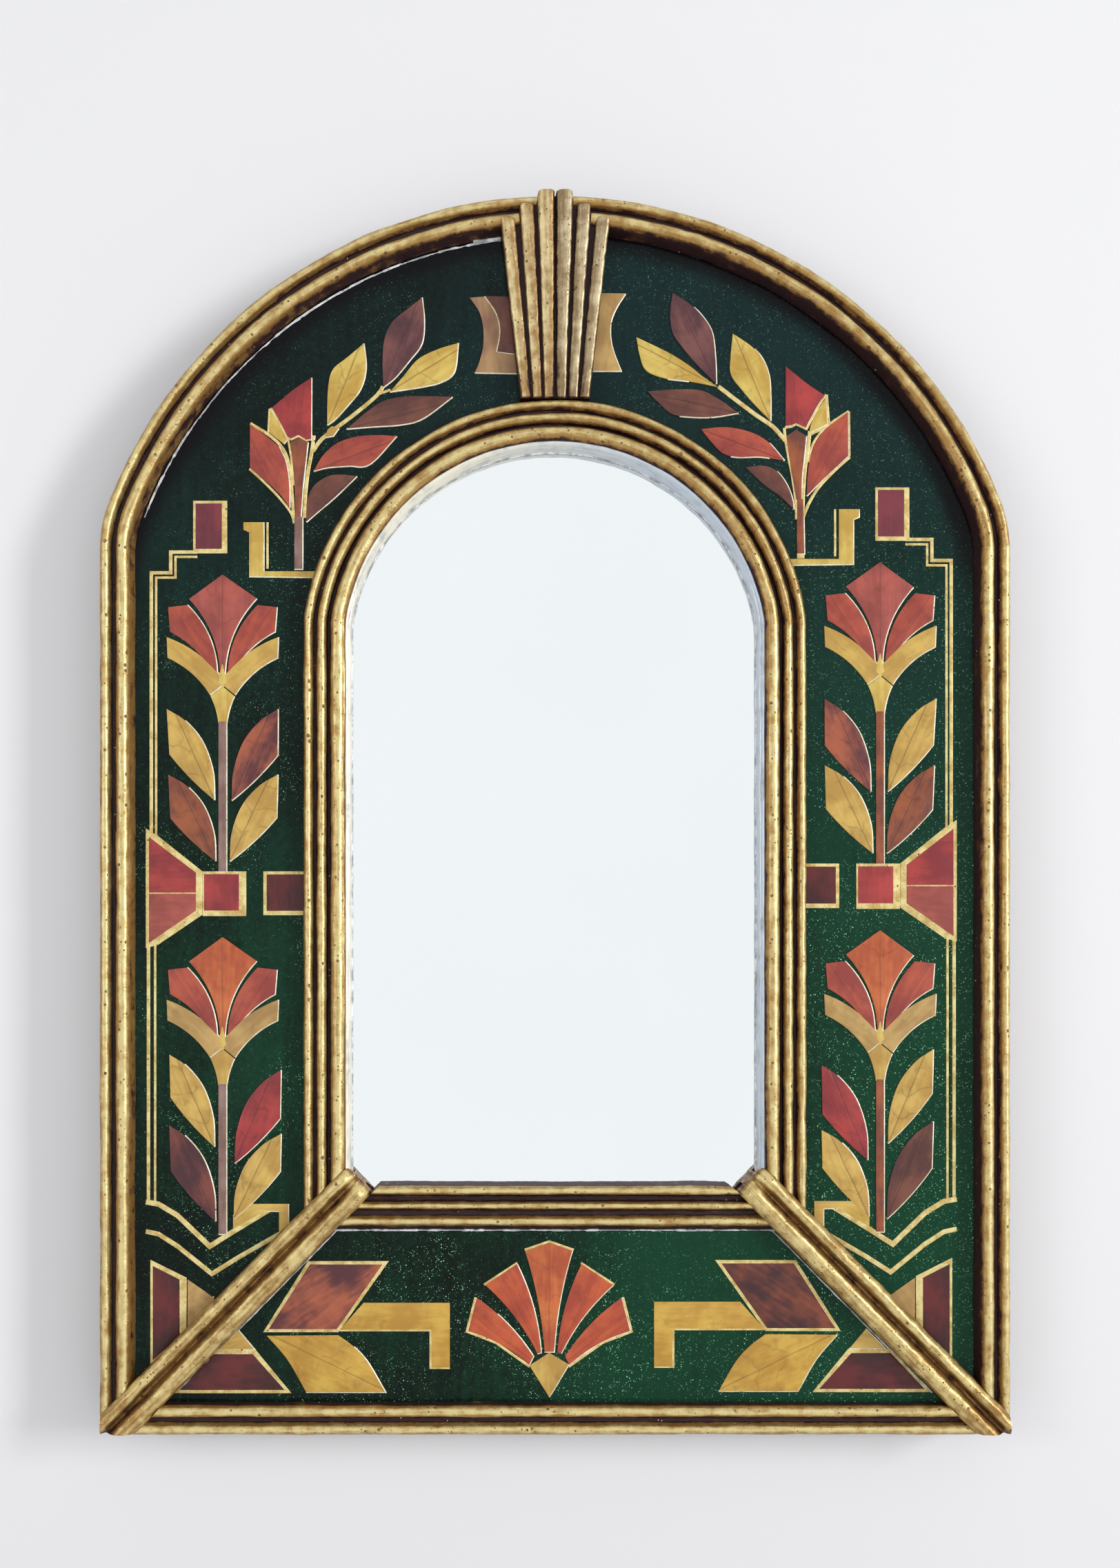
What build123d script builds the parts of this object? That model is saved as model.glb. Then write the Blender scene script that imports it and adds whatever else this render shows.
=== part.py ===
from build123d import *
from dataclasses import dataclass
from math import atan2, cos, degrees, radians, sin, sqrt
import os

# An arched wall mirror. The front faces -Y and +Z is up. The origin lies on the wall, on the centre
# line, where the wall hook bears in the raised hanger ring. Heights called "height" or "crest" are
# measured forwards from the front face of the back board.

QUARTER_TURN = 90.0

# ---- Driving dimensions, in millimetres and degrees ----
# Outline of the whole frame
half_width = 167.2
side_height = 333.3             # foot of the frame to the spring of its arch
arch_flatness = 45.5            # how far the arch falls short of a half circle
shoulder_radius = 50.0          # short arc that eases each side into the arch
hook_drop = 40.0                # crown of the frame to the wall hook

# Widths across the border
outer_moulding_width = 13.2
panel_width = 61.6              # border panel that shows between the two mouldings
inner_moulding_width = 16.8
inner_arch_flatness = 12.0
inner_shoulder_radius = 40.0

# Layers, from the wall forwards
bumper_thickness = 5.0
board_thickness = 12.0
panel_thickness = 3.0
mirror_thickness = 3.0

# Rebates and fits
board_inset = 1.5               # the mouldings overhang the edge of the board
board_chamfer = 1.0
panel_lip = 3.6                 # cover of a moulding over the edge of a border panel
mirror_cover = 5.0              # cover of the inner moulding over the edge of the mirror
edge_clearance = 0.3            # round each border panel
mirror_clearance = 0.5

# Outer moulding: two ribs, a groove between them and a slope down to the border panel
outer_rib_widths = (4.2, 4.6)
outer_rib_crests = (8.8, 10.0)
outer_groove_width = 2.4
outer_slope_foot = 0.6          # height of the slope's lower edge above the border panel

# Inner moulding: three ribs and two grooves, with a wall down to the mirror
inner_rib_widths = (4.05, 3.5)  # the third rib takes the rest of the width
inner_rib_crests = (8.8, 9.3, 10.0)
inner_groove_widths = (1.6, 1.35)

groove_floor = 5.8
rib_rise = 1.9                  # height of each rib's round top above its shoulders

# Corner battens, laid along the joints between the side panels and the bottom panel
batten_width = 14.0
batten_angle = 45.4             # from the horizontal
batten_foot_inset = 2.8         # outer edge of the frame to the batten's centre line, at the foot
batten_overhang = 5.0           # beyond the corner of the sight opening
batten_crest = 11.5
batten_groove_width = 1.8
batten_groove_floor = 7.8
batten_tongue = 6.0             # width that reaches the board between the panels

# Keystone: a stepped block with six tapered half-round flutes
block_height = 8.0
block_margin = 0.9              # beside the outermost flute
block_tongue = 10.0
keystone_rise = 1.6             # above the crown of the frame
flute_step = 4.9                # each flute's top lies this much below its inner neighbour's
flute_top_pitch = 7.0
flute_foot_pitch = 4.25
centre_flute_width = 6.3        # at the top
side_flute_width = 4.8          # at the top
flute_foot_width = 3.6
flute_fullness = 0.62           # height of a flute over its width
keystone_clearance = 0.2        # above the inner arch

# D-ring hanger
ring_wire_radius = 1.2
ring_inner_half_width = 9.0
ring_inner_height = 13.0
ring_corner_radius = 2.4
ring_clearance = 0.1            # round the wire, inside the barrel
strap_width = 14.0
strap_thickness = 0.8
strap_length = 36.0             # below the barrel's centre
strap_end_radius = 6.0
strap_screw_drops = (20.5, 30.0)
strap_hole_radius = 1.9

# Screws and bumpers
screw_radius = 1.5
screw_head_radius = 3.0
screw_bite = 5.0                # thread inside the moulding
screw_clearance = 0.2           # in the board
thread_clearance = 0.05         # in a pilot hole
head_clearance = 0.15           # in a countersink
screw_tip = 1.5
drive_width = 0.9
drive_length = 3.2
drive_depth = 1.0
pan_head_radius = 3.3
pan_head_height = 1.5
hanger_screw_length = 8.0       # under the head
outer_screw_inset = 7.0         # from the moulding's outer edge
inner_screw_inset = 7.4
screw_end_gap = 40.0            # from the end of a straight moulding to its nearest screw
rail_screw_spread = 45.0        # from the centre line
arch_screw_angles = (35.0, 62.0)      # above the horizontal, about the arch's centre
inner_arch_screw_angles = (30.0, 60.0)
batten_screw_shares = (0.3, 0.7)      # along the batten
keystone_screw_drops = (16.0, 36.0)   # below the crown of the frame
bumper_radius = 6.0
bumper_inset = 26.0             # from the outer edge of the frame
bumper_chamfer = 0.8

# ---- Places worked out from them ----
crown_z = hook_drop
foot_z = crown_z - (side_height + half_width - arch_flatness)
board_back = bumper_thickness                        # distances in front of the wall
board_front = board_back + board_thickness
reach = 4 * half_width                               # longer than anything that it cuts


@dataclass(frozen=True)
class ArchLine:
    """A closed arched outline with straight sides, a shoulder arc on each, and one arc over them."""

    half_width: float
    foot_z: float
    radius: float
    centre_z: float
    shoulder: float

    @property
    def shoulder_x(self):
        return self.half_width - self.shoulder

    @property
    def shoulder_z(self):
        return self.centre_z + sqrt((self.radius - self.shoulder) ** 2 - self.shoulder_x ** 2)

    @property
    def shoulder_angle(self):
        return degrees(atan2(self.shoulder_z - self.centre_z, self.shoulder_x))

    @property
    def crown_z(self):
        return self.centre_z + self.radius

    def inset(self, distance):
        """The parallel outline that lies this far inside."""
        return ArchLine(self.half_width - distance, self.foot_z + distance, self.radius - distance,
                        self.centre_z, self.shoulder - distance)

    def on_arc(self, angle):
        """The point of the large arc at an angle above the horizontal, on the right."""
        return (self.radius * cos(radians(angle)), self.centre_z + self.radius * sin(radians(angle)))


def arch_line(line_half_width, line_foot, crown, flatness, shoulder):
    """An outline of a given width and crown whose arch falls short of a half circle by flatness."""
    rise = line_half_width - flatness
    radius = (line_half_width ** 2 + rise ** 2) / (2 * rise)
    return ArchLine(line_half_width, line_foot, radius, crown - radius, shoulder)


outer = arch_line(half_width, foot_z, crown_z, arch_flatness, shoulder_radius)
border = outer_moulding_width + panel_width
inner = arch_line(half_width - border, foot_z + border, outer.crown_z - border,
                  inner_arch_flatness, inner_shoulder_radius)
sight = inner.inset(inner_moulding_width)
mirror_edge = sight.inset(-mirror_cover)
panel_outer = outer.inset(outer_moulding_width - panel_lip)
panel_inner = inner.inset(panel_lip)


def face(height):
    """The sketch plane at a height in front of the board; local x is X and local y is Z."""
    return Plane.XZ.offset(board_front + height)


def arch_face(line, mode=Mode.ADD):
    """Fill an arched outline in the current BuildSketch."""
    half_angle = radians(line.shoulder_angle / 2)
    top_x, top_z = line.on_arc(line.shoulder_angle)
    bend_x = line.shoulder_x + line.shoulder * cos(half_angle)
    bend_z = line.shoulder_z + line.shoulder * sin(half_angle)
    with BuildLine() as outline:
        Line((-line.half_width, line.foot_z), (line.half_width, line.foot_z))
        Line((line.half_width, line.foot_z), (line.half_width, line.shoulder_z))
        ThreePointArc((line.half_width, line.shoulder_z), (bend_x, bend_z), (top_x, top_z))
        ThreePointArc((top_x, top_z), (0, line.crown_z), (-top_x, top_z))
        ThreePointArc((-top_x, top_z), (-bend_x, bend_z), (-line.half_width, line.shoulder_z))
        Line((-line.half_width, line.shoulder_z), (-line.half_width, line.foot_z))
    make_face(outline.edges(), mode=mode)


def polygon_face(corners, mode=Mode.ADD):
    """Fill a polygon in the current BuildSketch."""
    with BuildLine() as outline:
        Polyline(*corners, close=True)
    make_face(outline.edges(), mode=mode)


# ---- The battens' place, seen from the front ----
batten_foot_x = half_width - batten_foot_inset


def batten_point(side, along, across):
    """A point of a batten: along from its foot towards the mirror, across towards the side panel."""
    angle = radians(batten_angle)
    x = batten_foot_x - along * cos(angle) + across * sin(angle)
    return (side * x, foot_z + along * sin(angle) + across * cos(angle))


def batten_region(side, start, end, low, high, mode=Mode.ADD):
    """Fill a rectangle that runs along a batten, in the current BuildSketch."""
    corners = [(start, low), (end, low), (end, high), (start, high)]
    polygon_face([batten_point(side, along, across) for along, across in corners], mode)


batten_angle_radians = radians(batten_angle)
sight_corner_along = ((batten_foot_x - sight.half_width) * cos(batten_angle_radians)
                      + (sight.foot_z - foot_z) * sin(batten_angle_radians))
batten_length = sight_corner_along + batten_overhang


# ---- The keystone's place, seen from the front ----
flute_foot_z = inner.crown_z + keystone_clearance
keystone_top_z = outer.crown_z + keystone_rise
flute_top_widths = (centre_flute_width, side_flute_width, side_flute_width)
flute_top_zs = tuple(keystone_top_z - order * flute_step for order in range(3))
flute_top_xs = tuple((order + 0.5) * flute_top_pitch for order in range(3))
flute_foot_xs = tuple((order + 0.5) * flute_foot_pitch for order in range(3))


def flute_edge(order, z):
    """The outer edge of a right-hand flute's section at a height, plus the block's margin."""
    share = (z - flute_foot_z) / (flute_top_zs[order] - flute_foot_z)
    centre = flute_foot_xs[order] + share * (flute_top_xs[order] - flute_foot_xs[order])
    width = flute_foot_width + share * (flute_top_widths[order] - flute_foot_width)
    return centre + width / 2 + block_margin


def keystone_face(mode=Mode.ADD):
    """Fill the keystone's stepped outline in the current BuildSketch."""
    corners = [(flute_edge(2, flute_foot_z), flute_foot_z)]
    for order in (2, 1, 0):
        if order < 2:
            corners.append((flute_edge(order, flute_top_zs[order + 1]), flute_top_zs[order + 1]))
        corners.append((flute_edge(order, flute_top_zs[order]), flute_top_zs[order]))
    polygon_face(corners + [(-x, z) for x, z in reversed(corners)], mode)


def panel_band(gap=0.0):
    """The sketch of the border panels' band, parted by the tongues, with a gap all round."""
    half_tongue = batten_tongue / 2 + gap
    with BuildSketch(face(0)) as band:
        arch_face(panel_outer.inset(gap))
        arch_face(panel_inner.inset(-gap), Mode.SUBTRACT)
        for side in (-1, 1):
            batten_region(side, -batten_width, batten_length, -half_tongue, half_tongue, Mode.SUBTRACT)
        with Locations((0, keystone_top_z)):
            Rectangle(block_tongue + 2 * gap, keystone_top_z - inner.centre_z,
                      align=(Align.CENTER, Align.MAX), mode=Mode.SUBTRACT)
    return band.sketch


# ---- Mouldings ----
def profile_plane(x, z, turn):
    """A section plane at a point of an outer edge: local x runs inwards and local y forwards.

    The moulding runs up at turn 0, to the left at turn 90 and to the right at turn -90.
    """
    angle = radians(turn)
    return Plane(origin=(x, -board_front, z), x_dir=(-cos(angle), 0, -sin(angle)),
                 z_dir=(-sin(angle), 0, cos(angle)))


def draw_ribs(widths, crests, gaps, floor):
    """Draw round-topped ribs with flat grooves between them, and return where they start and end."""
    start = 0.0
    for order, (width, crest) in enumerate(zip(widths, crests)):
        end = start + width
        ThreePointArc((start, crest - rib_rise), ((start + end) / 2, crest), (end, crest - rib_rise))
        if order < len(gaps):
            following = end + gaps[order]
            Line((end, crest - rib_rise), (end, floor))
            Line((end, floor), (following, floor))
            Line((following, floor), (following, crests[order + 1] - rib_rise))
            start = following
    return (0.0, crests[0] - rib_rise), (end, crests[-1] - rib_rise)


def outer_section(plane):
    """The outer moulding's section on a plane."""
    base_width = outer_moulding_width - panel_lip
    with BuildSketch(plane) as profile:
        with BuildLine():
            first, last = draw_ribs(outer_rib_widths, outer_rib_crests, (outer_groove_width,),
                                    groove_floor)
            Polyline(last, (outer_moulding_width, panel_thickness + outer_slope_foot),
                     (outer_moulding_width, panel_thickness), (base_width, panel_thickness),
                     (base_width, 0), (0, 0), first)
        make_face()
    return profile.sketch


def inner_section(plane):
    """The inner moulding's section on a plane."""
    taken = sum(inner_rib_widths) + sum(inner_groove_widths)
    widths = inner_rib_widths + (inner_moulding_width - taken,)
    with BuildSketch(plane) as profile:
        with BuildLine():
            first, last = draw_ribs(widths, inner_rib_crests, inner_groove_widths, groove_floor)
            Polyline(last, (inner_moulding_width, 0), (panel_lip, 0), (panel_lip, panel_thickness),
                     (0, panel_thickness), first)
        make_face()
    return profile.sketch


def stile(line, section):
    """A straight right-hand moulding from the foot to the shoulder, in the current BuildPart."""
    profile = section(profile_plane(line.half_width, line.foot_z, 0))
    extrude(profile, amount=line.shoulder_z - line.foot_z)


def half_arch(line, section):
    """A right-hand moulding from the shoulder to the crown, in the current BuildPart."""
    profile = section(profile_plane(line.half_width, line.shoulder_z, 0))
    revolve(profile, axis=Axis((line.shoulder_x, 0, line.shoulder_z), (0, -1, 0)),
            revolution_arc=line.shoulder_angle)
    arc_x, arc_z = line.on_arc(line.shoulder_angle)
    profile = section(profile_plane(arc_x, arc_z, line.shoulder_angle))
    revolve(profile, axis=Axis((0, 0, line.centre_z), (0, -1, 0)),
            revolution_arc=QUARTER_TURN - line.shoulder_angle)


def rail(line, section):
    """A straight bottom moulding as wide as the outline, in the current BuildPart."""
    profile = section(profile_plane(0, line.foot_z, -QUARTER_TURN))
    extrude(profile, amount=line.half_width, both=True)


def cut_for_batten(side, above):
    """Cut the current part along a batten's edge: all that is above it, or all that is below it."""
    low, high = (-batten_width / 2, reach) if above else (-reach, batten_width / 2)
    with BuildSketch(face(0)) as region:
        batten_region(side, -reach, reach, low, high)
    extrude(region.sketch, amount=batten_crest, mode=Mode.SUBTRACT)


def pilot_holes(points):
    """Bore blind pilot holes into the back of the current part."""
    with BuildSketch(face(0)) as holes:
        with Locations(*points):
            Circle(screw_radius + thread_clearance)
    extrude(holes.sketch, amount=screw_bite, mode=Mode.SUBTRACT)


def save(piece, label):
    """Label a finished piece and write its file."""
    piece.part.label = label
    export_step(piece.part, f"parts/{label}.step")


os.makedirs("parts", exist_ok=True)

# ---- Screw places, seen from the front ----
outer_screws = outer.inset(outer_screw_inset)
inner_screws = inner.inset(inner_screw_inset)


def stile_screws(line, screws):
    """Two screw places in a right-hand stile."""
    return [(screws.half_width, line.foot_z + screw_end_gap),
            (screws.half_width, line.shoulder_z - screw_end_gap)]


outer_stile_points = stile_screws(outer, outer_screws)
inner_stile_points = stile_screws(inner, inner_screws)
outer_arch_points = [outer_screws.on_arc(angle) for angle in arch_screw_angles]
inner_arch_points = [inner_screws.on_arc(angle) for angle in inner_arch_screw_angles]
outer_rail_points = [(side * rail_screw_spread, outer_screws.foot_z) for side in (-1, 1)]
inner_rail_points = [(side * rail_screw_spread, inner_screws.foot_z) for side in (-1, 1)]
batten_points = [batten_point(1, share * batten_length, 0) for share in batten_screw_shares]
keystone_points = [(0, outer.crown_z - drop) for drop in keystone_screw_drops]
right_points = (outer_stile_points + inner_stile_points + outer_arch_points + inner_arch_points
                + batten_points)
board_screw_points = (right_points + [(-x, z) for x, z in right_points]
                      + outer_rail_points + inner_rail_points + keystone_points)

# The board's back, seen from behind: local x is -X and local y is Z
back_plane = Plane(origin=(0, -board_back, 0), x_dir=(-1, 0, 0), z_dir=(0, 1, 0))

# ---- D-ring hanger: the strap is screwed on below its barrel, and the ring swings in the barrel ----
barrel_inner_radius = ring_wire_radius + ring_clearance
barrel_outer_radius = barrel_inner_radius + strap_thickness
barrel_y = barrel_outer_radius - board_back
barrel_z = -(ring_inner_height + ring_wire_radius)
hanger_screw_points = [(0, barrel_z - drop) for drop in strap_screw_drops]

# ---- Back board, with a pocket that the mirror lies in ----
with BuildPart() as back_board:
    with BuildSketch(face(-board_thickness)):
        arch_face(outer.inset(board_inset))
    extrude(amount=board_thickness)
    chamfer(back_board.faces().sort_by(Axis.Y)[-1].edges(), length=board_chamfer)
    with BuildSketch(face(-mirror_thickness)):
        arch_face(mirror_edge.inset(-mirror_clearance))
    extrude(amount=mirror_thickness, mode=Mode.SUBTRACT)
    with Locations(back_plane):
        with Locations(*board_screw_points):
            CounterSinkHole(radius=screw_radius + screw_clearance,
                            counter_sink_radius=screw_head_radius + head_clearance,
                            depth=board_thickness, counter_sink_angle=QUARTER_TURN)
    with BuildSketch(face(-board_thickness)):
        with Locations(*hanger_screw_points):
            Circle(screw_radius + thread_clearance)
    extrude(amount=hanger_screw_length, mode=Mode.SUBTRACT)
save(back_board, "back_board")

with BuildPart() as mirror_glass:
    with BuildSketch(face(-mirror_thickness)):
        arch_face(mirror_edge)
    extrude(amount=mirror_thickness)
save(mirror_glass, "mirror_glass")

# ---- Border panels: one band, parted by the battens' tongues and the keystone's ----
with BuildPart() as panels:
    extrude(panel_band(gap=edge_clearance), amount=panel_thickness)
panel_solids = panels.solids().sort_by(Axis.X)

for name, solid in zip(("left", "bottom", "right"), panel_solids):
    with BuildPart() as border_panel:
        add(solid)
    save(border_panel, f"border_panel_{name}")

# ---- Outer mouldings ----
with BuildPart() as outer_stile_right:
    stile(outer, outer_section)
    cut_for_batten(1, above=False)
    pilot_holes(outer_stile_points)
save(outer_stile_right, "outer_stile_right")

with BuildPart() as outer_stile_left:
    mirror(outer_stile_right.part, about=Plane.YZ)
save(outer_stile_left, "outer_stile_left")

with BuildPart() as outer_arch_right:
    half_arch(outer, outer_section)
    with BuildSketch(face(0)):
        keystone_face()
    extrude(amount=block_height + outer_rib_crests[-1], mode=Mode.SUBTRACT)
    pilot_holes(outer_arch_points)
save(outer_arch_right, "outer_arch_right")

with BuildPart() as outer_arch_left:
    mirror(outer_arch_right.part, about=Plane.YZ)
save(outer_arch_left, "outer_arch_left")

with BuildPart() as outer_bottom_rail:
    rail(outer, outer_section)
    for side in (-1, 1):
        cut_for_batten(side, above=True)
    pilot_holes(outer_rail_points)
save(outer_bottom_rail, "outer_bottom_rail")

# ---- Inner mouldings ----
with BuildPart() as inner_stile_right:
    stile(inner, inner_section)
    cut_for_batten(1, above=False)
    pilot_holes(inner_stile_points)
save(inner_stile_right, "inner_stile_right")

with BuildPart() as inner_stile_left:
    mirror(inner_stile_right.part, about=Plane.YZ)
save(inner_stile_left, "inner_stile_left")

with BuildPart() as inner_arch:
    half_arch(inner, inner_section)
    pilot_holes(inner_arch_points)
    mirror(inner_arch.part, about=Plane.YZ)
save(inner_arch, "inner_arch")

with BuildPart() as inner_bottom_rail:
    rail(inner, inner_section)
    for side in (-1, 1):
        cut_for_batten(side, above=True)
    pilot_holes(inner_rail_points)
save(inner_bottom_rail, "inner_bottom_rail")

# ---- Corner battens, rebated over the border panels and trimmed to the frame's outline ----
with BuildPart() as corner_batten_right:
    start_x, start_z = batten_point(1, -batten_width, batten_width / 2)
    with BuildSketch(profile_plane(start_x, start_z, QUARTER_TURN - batten_angle)):
        with BuildLine():
            bead = (batten_width - batten_groove_width) / 2
            crests = (batten_crest, batten_crest)
            first, last = draw_ribs((bead, bead), crests, (batten_groove_width,), batten_groove_floor)
            Polyline(last, (batten_width, 0), (0, 0), first)
        make_face()
    extrude(amount=batten_length + batten_width)
    with BuildSketch(face(0)):
        arch_face(outer)
    extrude(amount=batten_crest, mode=Mode.INTERSECT)
    extrude(panel_band(), amount=panel_thickness, mode=Mode.SUBTRACT)
    pilot_holes(batten_points)
save(corner_batten_right, "corner_batten_right")

with BuildPart() as corner_batten_left:
    mirror(corner_batten_right.part, about=Plane.YZ)
save(corner_batten_left, "corner_batten_left")

# ---- Keystone ----
with BuildPart() as keystone_block:
    with BuildSketch(face(0)):
        keystone_face()
    extrude(amount=block_height)
    extrude(panel_band(), amount=panel_thickness, mode=Mode.SUBTRACT)
    pilot_holes(keystone_points)
save(keystone_block, "keystone_block")


def flute_section(z, centre, width):
    """A half-round flute section at a height."""
    back_y = -board_front - block_height
    with BuildSketch(Plane.XY.offset(z)) as profile:
        with BuildLine():
            Line((centre - width / 2, back_y), (centre + width / 2, back_y))
            ThreePointArc((centre + width / 2, back_y), (centre, back_y - flute_fullness * width),
                          (centre - width / 2, back_y))
        make_face()
    return profile.sketch


flute_places = [(-1, 2), (-1, 1), (-1, 0), (1, 0), (1, 1), (1, 2)]
for number, (side, order) in enumerate(flute_places, start=1):
    with BuildPart() as keystone_flute:
        foot = flute_section(flute_foot_z, side * flute_foot_xs[order], flute_foot_width)
        top = flute_section(flute_top_zs[order], side * flute_top_xs[order],
                            flute_top_widths[order])
        loft([foot, top])
    save(keystone_flute, f"keystone_flute_{number}")

# ---- Hanger ----
with BuildPart() as hanger_strap:
    with BuildSketch(back_plane) as strap_outline:
        with Locations((0, barrel_z)):
            Rectangle(strap_width, strap_length, align=(Align.CENTER, Align.MAX))
        fillet(strap_outline.vertices().group_by(Axis.Y)[0], radius=strap_end_radius)
        with Locations(*hanger_screw_points):
            Circle(strap_hole_radius, mode=Mode.SUBTRACT)
    extrude(amount=strap_thickness)
    with BuildSketch(Plane.YZ):
        with Locations((barrel_y, barrel_z)):
            Circle(barrel_outer_radius)
    extrude(amount=strap_width / 2, both=True)
    with BuildSketch(Plane.YZ):
        with Locations((barrel_y, barrel_z)):
            Circle(barrel_inner_radius)
    extrude(amount=strap_width / 2, both=True, mode=Mode.SUBTRACT)
save(hanger_strap, "hanger_strap")

with BuildPart() as hanger_ring:
    bend = ring_inner_half_width + ring_wire_radius
    drop = ring_inner_height + 2 * ring_wire_radius
    with BuildLine(Plane.XZ.offset(-barrel_y)) as ring_path:
        bar = Line((0, barrel_z), (bend - ring_corner_radius, barrel_z))
        corner = JernArc(start=bar @ 1, tangent=bar % 1, radius=ring_corner_radius, arc_size=-QUARTER_TURN)
        cheek = Line(corner @ 1, (bend, barrel_z - drop + bend))
        bow = JernArc(start=cheek @ 1, tangent=cheek % 1, radius=bend, arc_size=-QUARTER_TURN)
        mirror(about=Plane.YZ)
    with BuildSketch(Plane.YZ):
        with Locations((barrel_y, barrel_z)):
            Circle(ring_wire_radius)
    sweep(path=ring_path.wires()[0])
save(hanger_ring, "hanger_ring")


# ---- Screws, each made on its own with its head at the origin and its point at -Z ----
def drive_cross(head_top):
    """Cut a cross recess into the head of the current screw."""
    with Locations((0, 0, head_top)):
        Box(drive_length, drive_width, 2 * drive_depth, mode=Mode.SUBTRACT)
        Box(drive_width, drive_length, 2 * drive_depth, mode=Mode.SUBTRACT)


with BuildPart() as moulding_screw:
    screw_length = board_thickness + screw_bite
    with BuildSketch(Plane.XZ):
        with BuildLine():
            Polyline((0, 0), (screw_head_radius, 0),
                     (screw_radius, screw_radius - screw_head_radius),
                     (screw_radius, screw_tip - screw_length), (0, -screw_length), close=True)
        make_face()
    revolve(axis=Axis.Z)
    drive_cross(0)

with BuildPart() as moulding_screws:
    with Locations(back_plane):
        with Locations(*board_screw_points):
            add(moulding_screw.part)
save(moulding_screws, "moulding_screws")

with BuildPart() as hanger_screw:
    with BuildSketch(Plane.XZ):
        with BuildLine():
            Polyline((0, pan_head_height), (pan_head_radius, pan_head_height), (pan_head_radius, 0),
                     (screw_radius, 0), (screw_radius, screw_tip - hanger_screw_length),
                     (0, -hanger_screw_length), close=True)
        make_face()
    revolve(axis=Axis.Z)
    drive_cross(pan_head_height)

with BuildPart() as hanger_screws:
    with Locations(back_plane.offset(strap_thickness)):
        with Locations(*hanger_screw_points):
            add(hanger_screw.part)
save(hanger_screws, "hanger_screws")

# ---- Wall bumpers ----
bumper_line = outer.inset(bumper_inset)
bumper_places = [(side * bumper_line.half_width, z) for side in (-1, 1)
                 for z in (bumper_line.foot_z, bumper_line.shoulder_z)]
with BuildPart() as wall_bumpers:
    with BuildSketch(back_plane):
        with Locations(*bumper_places):
            Circle(bumper_radius)
    extrude(amount=bumper_thickness)
    chamfer(wall_bumpers.faces().group_by(Axis.Y)[-1].edges(), length=bumper_chamfer)
save(wall_bumpers, "wall_bumpers")
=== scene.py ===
"""An arched wall mirror with a gilded, lacquered and inlaid border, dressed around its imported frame."""
import logging
import math
from collections.abc import Callable, Sequence
from dataclasses import dataclass, field
from enum import Enum
from functools import cached_property
from typing import Any

import bpy
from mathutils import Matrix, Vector


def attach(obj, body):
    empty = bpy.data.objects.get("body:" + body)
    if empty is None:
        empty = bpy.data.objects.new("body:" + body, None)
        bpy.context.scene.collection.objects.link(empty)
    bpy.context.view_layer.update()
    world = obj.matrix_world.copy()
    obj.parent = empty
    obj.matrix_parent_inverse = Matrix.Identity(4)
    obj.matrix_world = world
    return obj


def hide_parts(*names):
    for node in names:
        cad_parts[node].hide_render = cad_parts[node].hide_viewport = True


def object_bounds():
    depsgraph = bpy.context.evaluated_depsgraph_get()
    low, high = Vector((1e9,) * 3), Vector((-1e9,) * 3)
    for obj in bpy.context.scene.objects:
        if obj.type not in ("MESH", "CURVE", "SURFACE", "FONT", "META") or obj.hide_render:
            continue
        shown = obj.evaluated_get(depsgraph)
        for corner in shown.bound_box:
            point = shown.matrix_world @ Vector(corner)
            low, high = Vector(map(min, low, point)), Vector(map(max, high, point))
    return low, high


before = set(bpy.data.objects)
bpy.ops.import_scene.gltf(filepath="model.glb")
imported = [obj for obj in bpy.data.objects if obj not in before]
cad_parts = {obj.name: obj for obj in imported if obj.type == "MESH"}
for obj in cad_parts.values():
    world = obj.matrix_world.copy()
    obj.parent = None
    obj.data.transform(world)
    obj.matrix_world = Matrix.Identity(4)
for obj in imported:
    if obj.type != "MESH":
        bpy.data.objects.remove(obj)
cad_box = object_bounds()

log = logging.getLogger("arched_mirror")

MM = 0.001
QUARTER = math.pi / 2
ROOT = "mirror_frame"
FOOT_Z = -0.415            # foot of the frame, in the shared frame
BOARD_FRONT = -0.017       # front of the back board
PANEL_FRONT = -0.020       # front of the border panels
BOX_MARGIN = 0.02 * MM     # how far the pieces stay inside the solids' box
BATTEN_ANGLE = math.radians(45.4)
BATTEN_FOOT_X = 164.4 * MM

Flat = tuple[float, float]
Run = tuple[float, float, float]
Material = bpy.types.Material
Piece = bpy.types.Object
Socket = bpy.types.NodeSocket


# ---- colours and shader graphs
def paint(code: str) -> tuple[float, float, float, float]:
    """Turn a six-digit display colour into a linear one.

    Args:
        code: Red, green and blue as hexadecimal digits.

    Returns:
        The linear colour with full alpha.
    """
    parts = [int(code[at:at + 2], 16) / 255 for at in (0, 2, 4)]
    linear = [p / 12.92 if p <= 0.04045 else ((p + 0.055) / 1.055) ** 2.4 for p in parts]
    return (*linear, 1.0)


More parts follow.
